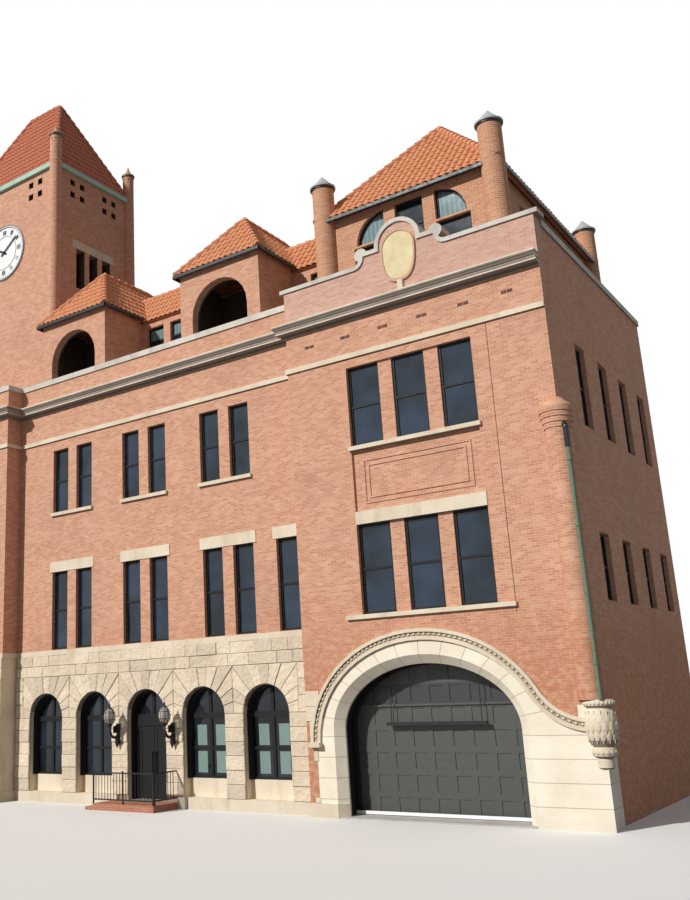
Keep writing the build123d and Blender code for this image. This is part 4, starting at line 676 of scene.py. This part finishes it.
# Brickwork wrapped round the turrets and the corner shaft
def unroll(mesh, axes, radius):
    layer = mesh.loops.layers.uv.new("unrolled")
    for face in mesh.faces:
        centre = face.calc_center_median()
        x, y = min(axes, key=lambda axis: math.hypot(centre.x - axis[0], centre.y - axis[1]))
        facing = math.atan2(centre.y - y, centre.x - x)
        for loop in face.loops:
            spot = loop.vert.co
            turn = math.atan2(spot.y - y, spot.x - x)
            turn += math.tau * round((facing - turn) / math.tau)
            loop[layer].uv = (turn * radius, spot.z)


turrets = {
    "tower": {
        "x": (-13.8, -7.2), "y": (-3.38, 1.28), "z": (15.9, 27.78), "radius": 0.26, "holes": 8,
        "brick": "brick_round", "hat": "cap_clay", "cap": (
            (0.31, 0), (0.315, 0.05), (0.24, 0.09), (0.15, 0.19), (0.085, 0.32), (0.04, 0.45), (0.012, 0.56), (0, 0.58),
        ),
    },
    "penthouse": {
        "x": (6.8, 12.56), "y": (-4.4, 4.55), "z": (14.5, 19.4), "radius": 0.355, "holes": 0,
        "brick": "penthouse_round", "hat": "lead", "cap": (
            (0.42, 0), (0.425, 0.05), (0.36, 0.08), (0.2, 0.27), (0.07, 0.42), (0.03, 0.47), (0, 0.49),
        ),
    },
}
collar = {"steps": 40, "out": 0.03, "in": 0.02, "deep": 0.065, "clear": 0.001, "holeDrop": 0.24, "hole": 0.035}
rings = bmesh.new()
for name, place in turrets.items():
    radius, (foot, top), steps = place["radius"], place["z"], collar["steps"]
    axes = [(x, y) for x in place["x"] for y in place["y"]]
    shell, caps = bmesh.new(), bmesh.new()
    near, out, low, high = radius - collar["in"], radius + collar["out"], top - collar["deep"], top - collar["clear"]
    for x, y in axes:
        turned(shell, [(0, foot), (radius, foot), (radius, top), (0, top)], x, y, steps)
        turned(caps, [(0, top)] + [(wide, top + height) for wide, height in place["cap"]], x, y, steps)
        turned(rings, [(near, low), (out, low), (out, high), (near, high)], x, y, steps)
        for turn in allRound(place["holes"]):
            start, end = (about(x, y, radius + reach, turn, top - collar["holeDrop"]) for reach in (-0.03, 0.003))
            rod(rings, start, end, collar["hole"], 12)
    weld(shell)
    weld(caps)
    unroll(shell, axes, radius)
    shaftPiece = keep(shell, name + "_turret_brickwork", "brick", place["brick"])
    capPiece = keep(caps, name + "_turret_caps", "lead", place["hat"])
    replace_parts(shaftPiece, "corner_turrets")
    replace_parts(capPiece, "turret_caps")
keep(rings, "turret_rings", "black_metal")

shaft = {
    "x": 13.72, "y": -5.27, "radius": 0.33, "foot": 2.96, "corbelFoot": 9.65, "corbelTop": 10.21, "cap": 10.48,
    "corbel": 0.43, "courses": 4,
}
column = bmesh.new()
outline = [(0, shaft["foot"]), (shaft["radius"], shaft["foot"]), (shaft["radius"], shaft["corbelFoot"])]
for course in range(shaft["courses"]):
    radius = shaft["radius"] + (course + 1) * (shaft["corbel"] - shaft["radius"]) / shaft["courses"]
    for end in (0, 1):
        rise = (course + end) * (shaft["corbelTop"] - shaft["corbelFoot"]) / shaft["courses"]
        outline.append((radius, shaft["corbelFoot"] + rise))
outline += [(shaft["radius"] / 2, shaft["cap"]), (0, shaft["cap"])]
turned(column, outline, shaft["x"], shaft["y"], 48)
weld(column)
unroll(column, [(shaft["x"], shaft["y"])], shaft["radius"])
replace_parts(keep(column, "shaft_brickwork", "brick", "brick_round"), "corner_shaft")
print("barn: turrets and shaft ready")


# Black elbow where the downspout turns into the shaft
elbow = {"place": (13.996, -5.546, 9.6), "turn": 0.11, "radius": 0.075, "steps": 8, "leg": 0.5}
pipe, foot = bmesh.new(), Vector(elbow["place"])
inward = Vector((shaft["x"] - foot.x, shaft["y"] - foot.y, 0)).normalized()
spots = []
for step in range(elbow["steps"] + 1):
    turn = math.pi * step / elbow["steps"]
    spots.append(foot + elbow["turn"] * (inward * (1 - math.cos(turn)) + Vector((0, 0, math.sin(turn)))))
chain(pipe, [foot - Vector((0, 0, elbow["leg"]))] + spots, elbow["radius"], 12)
keep(pipe, "downspout_elbow", "black_metal")


# Carved console at the corner: egg moulding, leaves and rolls
console = {
    "axis": (13.84, -5.22), "outline": [
        (0, 1.38), (0.15, 1.38), (0.2, 1.42), (0.2, 1.58), (0.17, 1.62), (0.2, 1.65), (0.27, 1.68), (0.29, 1.76),
        (0.27, 1.84), (0.24, 1.88), (0.29, 1.96), (0.345, 2.1), (0.375, 2.3), (0.375, 2.48), (0.34, 2.66), (0.29, 2.76),
        (0.31, 2.79), (0.35, 2.82), (0.365, 2.88), (0.35, 2.94), (0.33, 2.96), (0, 2.96),
    ],
    "eggs": 24, "egg": (0.032, 0.036, 0.06), "eggPlace": (0.35, 2.88),
    "leaves": 15, "leaf": (0.024, 0.066), "vein": 0.01,
    "rows": ((0.335, 2.1, 0.22, 0.13), (0.37, 2.33, 0.05, 0.13), (0.34, 2.58, -0.28, 0.13), (0.28, 1.76, 0, 0.05)),
}
carving = bmesh.new()
turned(carving, console["outline"], *console["axis"], 48)


def lump(spot, turn, lean, size):
    bmesh.ops.create_icosphere(carving, subdivisions=1, radius=1, matrix=(
        Matrix.Translation(spot) @ Matrix.Rotation(turn, 4, "Z") @ Matrix.Rotation(lean, 4, "Y")
        @ Matrix.Diagonal((*size, 1))
    ))


for turn in allRound(console["eggs"]):
    radius, height = console["eggPlace"]
    lump(about(*console["axis"], radius, turn, height), turn, 0, console["egg"])
for row, (radius, height, lean, tall) in enumerate(console["rows"]):
    for turn in allRound(console["leaves"], row / 2):
        lump(about(*console["axis"], radius, turn, height), turn, lean, (*console["leaf"], tall))
        foot = about(*console["axis"], radius + 0.004, turn, height - tall)
        rod(carving, foot, about(*console["axis"], radius + 0.012, turn, height + tall), console["vein"], 5)
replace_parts(keep(carving, "console_carving", "smooth_limestone"), "corner_console")

# Beads in the groove between the rolls of the label moulding, over the arch and down its reverse curve
label = {
    "x": 9.325, "spring": 2.0, "half": 3.35, "rise": 2.78, "turn": 25, "shoulder": (13.6, 2.38), "steps": 300,
    "sweepSteps": 80, "pitch": 0.135, "bead": 0.046, "y": -5.392, "groove": 0.05, "every": 6, "thick": 0.004,
}


def onArch(degrees):
    turn = math.radians(degrees)
    return Vector((label["x"] + label["half"] * math.cos(turn), label["spring"] + label["rise"] * math.sin(turn)))


arcEnd, last = onArch(label["turn"]), math.radians(label["turn"])
arcWay = Vector((label["half"] * math.sin(last), -label["rise"] * math.cos(last))).normalized()
line = [onArch(180 - step * (180 - label["turn"]) / label["steps"]) for step in range(label["steps"])]
chord = Vector(label["shoulder"]) - arcEnd
side = Vector((-arcWay.y, arcWay.x))
if side.dot(chord) < 0:
    side = -side
bend = chord.length_squared / (2 * chord.dot(side))
hub = arcEnd + side * bend
sweep = 2 * math.asin(chord.length / 2 / bend) * math.copysign(1, arcWay.x * side.y - arcWay.y * side.x)
for step in range(label["sweepSteps"] + 1):
    line.append(hub + Matrix.Rotation(sweep * step / label["sweepSteps"], 2) @ (arcEnd - hub))
beads, groove = bmesh.new(), bmesh.new()
last, spots = None, []
for number, spot in enumerate(line):
    if last is None or (spot - last).length >= label["pitch"]:
        bmesh.ops.create_icosphere(
            beads, subdivisions=1, radius=label["bead"], matrix=Matrix.Translation((spot.x, label["y"], spot.y))
        )
        last = spot
    if number % label["every"] == 0:
        way = (line[min(number + 1, len(line) - 1)] - line[max(number - 1, 0)]).normalized()
        spots.append((spot, Vector((-way.y, way.x)) * label["groove"]))
# A thin darker sheet along the groove behind the beads: painted shade
rails = [[], []]
for spot, across in spots:
    for rail, sign in zip(rails, (-1, 1)):
        x, z = spot + sign * across
        rail.append(groove.verts.new((x, label["y"] - label["thick"] / 2, z)))
edges = [groove.edges.new(pair) for rail in rails for pair in zip(rail, rail[1:])]
bmesh.ops.bridge_loops(groove, edges=edges)
bmesh.ops.solidify(groove, geom=groove.faces[:], thickness=label["thick"])
keep(beads, "label_beads", "smooth_limestone", smooth=True)
weld(groove)
keep(groove, "label_groove", "smooth_limestone", "groove")
print("barn: carving ready")


# Entrance lanterns: scrolled bracket, ribbed glass globe and finial
lantern = {
    "x": (-1.97, 0.43), "y": -5.5, "wall": -5.0, "ribs": 8, "rib": 0.01, "hoop": 0.012,
    "hoops": ((0.178, 2.73), (0.17, 2.95)), "plate": (0.07, 0.13, 1.95, 2.6), "arm": (0.02, 0.33, 0.12, 2.3, 2.52),
    "globe": [(0.075, 2.6), (0.13, 2.63), (0.175, 2.72), (0.19, 2.82), (0.175, 2.94), (0.125, 3.04), (0.07, 3.1)],
    "cup": [
        (0, 2.36), (0.03, 2.38), (0.045, 2.43), (0.03, 2.48), (0.06, 2.52), (0.1, 2.56), (0.105, 2.6), (0.08, 2.615),
        (0, 2.615),
    ],
    "finial": [(0, 3.09), (0.085, 3.09), (0.07, 3.12), (0.03, 3.16), (0.035, 3.2), (0.012, 3.24), (0, 3.36)],
    "drop": [(0, 1.8), (0.02, 1.84), (0.05, 1.92), (0.08, 2.02), (0.05, 2.16), (0.02, 2.2)], "dropOut": 0.15,
    "curls": ((0.27, 2.36, 0.2, 0, -math.pi / 14, 14, 0.045, 8), (0.2, 2.42, 0.13, 0.007, 0.4, 16, 0.032, 6)),
}
irons, globes = bmesh.new(), bmesh.new()
for x in lantern["x"]:
    y, wall = lantern["y"], lantern["wall"]
    turned(globes, lantern["globe"], x, y, 24)
    turned(irons, lantern["cup"], x, y, 20)
    turned(irons, lantern["finial"], x, y, 16)
    turned(irons, lantern["drop"], x, wall - lantern["dropOut"], 14)
    thick = lantern["hoop"]
    for wide, height in lantern["hoops"]:
        hoop = [(wide, height - thick), (wide + thick, height), (wide, height + thick), (wide - thick / 2, height)]
        turned(irons, hoop, x, y, 24)
    for turn in allRound(lantern["ribs"]):
        chain(irons, [about(x, y, wide, turn, height) for wide, height in lantern["globe"]], lantern["rib"], 5)
    half, out, foot, top = lantern["plate"]
    eased(irons, (x - half, wall - out, foot), (x + half, wall, top), 0.015)
    half, out, near, foot, top = lantern["arm"]
    eased(irons, (x - half, wall - out, foot), (x + half, wall - near, top), 0.008)
    for out, height, reach, shrink, turn, steps, thick, sides in lantern["curls"]:
        spots = []
        for step in range(steps + 1):
            away = reach - shrink * step
            spots.append((x, wall - out + away * math.cos(turn * step), height + away * math.sin(turn * step)))
        chain(irons, spots, thick, sides)
ironPiece = keep(irons, "lantern_brackets", "black_metal")
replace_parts(ironPiece, "wall_lanterns")
weld(globes)
keep(globes, "lantern_globes", "glass", "globe", smooth=True)


# Clock face: minute ticks, hour bars, rings and plain hands, each from near to far of the middle
clock = {
    "x": -10.5, "z": 23.13, "face": -3.41, "deep": 0.02, "tick": (1.17, 1.21, 0.007), "bar": (0.88, 1.1, 0.01),
    "quarterBars": (-0.09, -0.03, 0.03, 0.09), "hourBars": (-0.06, 0, 0.06),
    "minuteHand": (-0.22, 1.0, 0.028, -3.44), "hourHand": (-0.18, 0.68, 0.042, -3.425), "minute": 9, "hour": 10,
    "hub": (0.07, 0.06), "rings": ((1.3, 0.035), (1.225, 0.008), (0.8, 0.008)),
}
hands, marks, rim = bmesh.new(), bmesh.new(), bmesh.new()
face = clock["face"]


def dialBar(mesh, turn, near, far, half, y=face):
    bmesh.ops.create_cube(mesh, size=1, matrix=(
        Matrix.Translation((clock["x"], y, clock["z"])) @ Matrix.Rotation(turn, 4, "Y")
        @ Matrix.Translation((0, -clock["deep"] / 2, (near + far) / 2))
        @ Matrix.Diagonal((2 * half, clock["deep"], far - near, 1))
    ))


for turn in allRound(60):
    dialBar(marks, turn, *clock["tick"])
for hour, turn in enumerate(allRound(12)):
    for shift in clock["hourBars" if hour % 3 else "quarterBars"]:
        dialBar(marks, turn + shift, *clock["bar"])
dialBar(hands, math.tau * clock["minute"] / 60, *clock["minuteHand"])
dialBar(hands, math.tau * clock["hour"] / 12, *clock["hourHand"])
radius, deep = clock["hub"]
rod(hands, (clock["x"], face, clock["z"]), (clock["x"], face - deep, clock["z"]), radius, 20)
keep(hands, "clock_hands", "black_paint")
keep(marks, "clock_marks", "black_paint", "dial_mark")
for radius, thick in clock["rings"]:
    loop, middle = bmesh.new(), Vector((clock["x"], face - 0.01, clock["z"]))
    section = bmesh.ops.create_circle(
        loop, cap_ends=False, radius=thick, segments=8, matrix=Matrix.Translation(middle + Vector((radius, 0, 0)))
    )["verts"]
    bmesh.ops.spin(
        loop, geom=section + loop.edges[:], cent=middle, axis=(0, 1, 0), angle=math.tau, steps=64, use_merge=True
    )
    pour(loop, rim)
keep(rim, "clock_rings", "black_paint", "dial_mark")
print("barn: lanterns and clock ready")


# Drawn blinds in the two windows beside the garage
blinds = {"x": (1.26, 2.0, 3.66, 4.4), "y": (-4.64, -4.628), "half": 0.19, "rows": ((1.06, 1.7), (1.88, 2.5))}
shades = bmesh.new()
for middle in blinds["x"]:
    for row in blinds["rows"]:
        low, high = zip((middle - blinds["half"], middle + blinds["half"]), blinds["y"], row)
        eased(shades, low, high, 0)
keep(shades, "window_blinds", "white_paint", "blind")


# Splayed stone reveal of the garage arch, and the black lining behind it
splay = {"x": 9.325, "spring": 2.3, "half": 2.775, "rise": 1.95, "foot": 0.05, "steps": 64}
splaySections = {
    "garage_arch_splay": ("smooth_limestone", "arch_stone", ((0, -5.352), (0.235, -5.12), (0.235, -5.05), (0, -5.05))),
    "garage_black_lining": ("black_paint", "black_paint", (
        (0.02, -5.05), (0.20, -5.05), (0.20, -5.0), (0.16, -4.98), (0.16, -4.66), (0.02, -4.66),
    )),
}
for name, (slot, finish, section) in splaySections.items():
    band, last, sides = bmesh.new(), splay["steps"] + 2, len(section)
    bmesh.ops.create_grid(band, x_segments=last, y_segments=sides, size=0.5)
    for vert in band.verts:
        number, corner = round((vert.co.x + 0.5) * last), round((vert.co.y + 0.5) * sides)
        inset, y = section[corner % sides]
        turn = math.pi * min(max(number - 1, 0), splay["steps"]) / splay["steps"]
        height = splay["spring"] + (splay["rise"] - inset) * math.sin(turn)
        x = splay["x"] - (splay["half"] - inset) * math.cos(turn)
        vert.co = (x, y, splay["foot"] if number in (0, last) else height)
    weld(band)
    bmesh.ops.holes_fill(band, edges=band.edges[:], sides=8)
    keep(band, name, slot, finish)


# Stones between the wing and the arch: a plinth that turns into the splay, side blocks and a tooth
sideStones = {
    "plinth": ((5.66, -5.385), (6.56, -5.385), (6.8, -5.14), (6.8, -5.1), (5.66, -5.1)), "top": 0.38, "y": -5.35,
    "blocks": (
        (5.66, 6.12, 2.98, 3.4, 0.02), (5.66, 5.97, 2.57, 2.975, 0.026), (5.77, 5.9, 2.15, 2.565, 0.02),
        (5.86, 6.01, 1.49, 1.86, 0.018), (5.84, 6.01, 0.385, 0.52, 0.016),
    ),
}
stones = bmesh.new()
base = stones.faces.new([stones.verts.new((x, y, 0)) for x, y in sideStones["plinth"]])
raised = bmesh.ops.extrude_face_region(stones, geom=[base], use_keep_orig=True)["geom"]
bmesh.ops.translate(stones, vec=(0, 0, sideStones["top"]), verts=only(vertKind, raised))
for x0, x1, z0, z1, proud in sideStones["blocks"]:
    eased(stones, (x0, sideStones["y"] - proud, z0), (x1, sideStones["y"] + 0.01, z1), 0.008)
keep(stones, "arch_side_stones", "smooth_limestone")


# The garage door's pale seal, the movement joint and the drop under the plaque
blocks = {
    "garage_door_seal": ((6.62, -4.625, 0.055), (12.03, -4.585, 0.145), 0.01, "white_paint", "white_paint"),
    "movement_joint": ((12.14, -5.352, 5.15), (12.16, -5.34, 12.95), 0, "brick", "vent_brown"),
    "plaque_drop": ((9.66, -5.43, 14.565), (9.84, -5.34, 14.97), 0.02, "cream_stone", "smooth_limestone"),
}


def oneBlock(name):
    low, high, ease, slot, finish = blocks[name]
    block = bmesh.new()
    eased(block, low, high, ease)
    keep(block, name, slot, finish)


oneBlock("garage_door_seal")

# Black painted linings that frame each arched opening and cover part of its reveal: the dark frame bands, and painted
# shade on the reveal
lining = {
    "bays": {-11.8: (-5.7, 0.9), -9.2: (-5.7, 0.9), -5.57: (-5, 0.9), -3.17: (-5, 0.9), -0.77: (-5, 0.2),
             1.63: (-5, 0.9), 4.03: (-5, 0.9)},
    "spring": 2.82, "steps": 24, "section": (
        (0.765, 0.17), (0.7995, 0.17), (0.7995, 0.14), (0.834, 0.14), (0.834, 0.33), (0.765, 0.33),
    ),
}
linings = bmesh.new()
for bay, (face, foot) in lining["bays"].items():
    band, spring = bmesh.new(), lining["spring"]
    section = [band.verts.new((bay + reach, face + deep, spring)) for reach, deep in lining["section"]]
    loop = [band.edges.new(pair) for pair in zip(section, section[1:] + section[:1])]
    legs = bmesh.ops.extrude_edge_only(band, edges=loop)["geom"]
    bmesh.ops.translate(band, vec=(0, 0, foot - spring), verts=only(vertKind, legs))
    arc = bmesh.ops.spin(
        band, geom=section + loop, cent=(bay, 0, spring), axis=(0, 1, 0), angle=-math.pi, steps=lining["steps"],
        use_merge=False,
    )["geom_last"]
    legs = bmesh.ops.extrude_edge_only(band, edges=only(edgeKind, arc))["geom"]
    bmesh.ops.translate(band, vec=(0, 0, foot - spring), verts=only(vertKind, legs))
    bmesh.ops.holes_fill(band, edges=band.edges[:], sides=8)
    weld(band)
    bmesh.ops.recalc_face_normals(band, faces=band.faces)
    pour(band, linings)
keep(linings, "arched_window_linings", "black_paint")


# Sunk brick panel between the triple windows
panel = {"x": (8.03, 11.37), "z": (8.55, 9.85), "y": (-5.3, -5.26), "wide": 0.055, "insets": (0, 0.15)}
fillets = bmesh.new()
for inset in panel["insets"]:
    (x0, x1), (z0, z1) = ((low + inset, high - inset) for low, high in (panel["x"], panel["z"]))
    (near, far), wide = panel["y"], panel["wide"]
    for left, right, foot, top in (
        (x0, x1, z0, z0 + wide), (x0, x1, z1 - wide, z1),
        (x0, x0 + wide, z0 + wide, z1 - wide), (x1 - wide, x1, z0 + wide, z1 - wide),
    ):
        eased(fillets, (left, near, foot), (right, far, top), 0.004)
keep(fillets, "brick_panel_fillets", "brick")
oneBlock("movement_joint")
oneBlock("plaque_drop")


# Frieze vents beside the triple windows
vents = {
    "x": (6.5, 7.77, 9.04, 10.3, 11.57, 12.84), "apart": 0.085, "half": 0.075, "y": (-5.362, -5.34),
    "z": (13.655, 13.745),
}
grilles = bmesh.new()
for x in vents["x"]:
    for middle in (x - vents["apart"], x + vents["apart"]):
        low, high = zip((middle - vents["half"], middle + vents["half"]), vents["y"], vents["z"])
        eased(grilles, low, high, 0.006)
keep(grilles, "frieze_vents", "black_metal", "vent_brown")
print("barn: windows ready")


# Camera, light, floor
view = {
    "place": (20.9416, -29.002, 3.4157), "yaw": 36.2922, "pitch": 14.4135, "roll": -2.2219,
    "focal": 946.7545, "tall": 900, "sensor": 36, "shift": 0.12,
}
yaw, pitch, roll = (math.radians(view[key]) for key in ("yaw", "pitch", "roll"))
ahead = Vector((-math.sin(yaw) * math.cos(pitch), math.cos(yaw) * math.cos(pitch), math.sin(pitch)))
level = Vector((math.cos(yaw), math.sin(yaw), 0))
upright = level.cross(ahead)
sideways = math.cos(roll) * level + math.sin(roll) * upright
upwards = math.cos(roll) * upright - math.sin(roll) * level
lens = bpy.data.cameras.new("photo_camera")
lens.sensor_fit = "VERTICAL"
lens.sensor_width = lens.sensor_height = view["sensor"]
lens.lens = view["focal"] * view["sensor"] / view["tall"]
lens.shift_x = view["shift"]
lens.clip_end = 500
camera = bpy.data.objects.new("photo_camera", lens)
camera.matrix_world = Matrix.Translation(view["place"]) @ Matrix((sideways, upwards, -ahead)).transposed().to_4x4()
scene.collection.objects.link(camera)
scene.camera = camera
scene.view_settings.view_transform = "Standard"

light = {
    "sun": 3.55, "spread": 2, "turn": -22, "lift": 32, "warm": (1.0, 0.965, 0.91), "sky": 0.2,
    "cool": (0.93, 0.96, 1.0), "floor": (0.2, 0.2, 0.2), "floorSeen": (0.85, 0.85, 0.85), "floorHalf": 150,
}
sunData = bpy.data.lights.new("key_sun", "SUN")
sunData.energy = light["sun"]
sunData.angle = math.radians(light["spread"])
sunData.color = light["warm"]
sun = bpy.data.objects.new("key_sun", sunData)
turn, lift = math.radians(light["turn"]), math.radians(light["lift"])
towards = Vector((math.sin(turn) * math.cos(lift), -math.cos(turn) * math.cos(lift), math.sin(lift)))
sun.rotation_mode = "QUATERNION"
sun.rotation_quaternion = towards.to_track_quat("Z", "Y")
scene.collection.objects.link(sun)

world = bpy.data.worlds.new("studio")
scene.world = world
world.use_nodes = True
sky = Tree(world.node_tree)
ambient = sky.add("ShaderNodeBackground", sockets={"Color": light["cool"], "Strength": light["sky"]})
backdrop = sky.add("ShaderNodeBackground", sockets={"Color": (1.0, 1.0, 1.0), "Strength": 1.0})
seen = sky.add("ShaderNodeMixShader", sockets={0: sky.seenRays(), 1: ambient, 2: backdrop})
sky.put(sky.tree.nodes["World Output"].inputs["Surface"], seen)

floorFinish, floorMesh = Finish("studio_floor"), bmesh.new()
floorTone = floorFinish.mix(floorFinish.seenRays(), light["floor"], light["floorSeen"])
bmesh.ops.create_grid(floorMesh, x_segments=1, y_segments=1, size=light["floorHalf"])
floorPiece = placed(floorMesh, "studio_floor", floorFinish.finish(floorTone, 0.9))
print("barn: camera, light and floor ready")
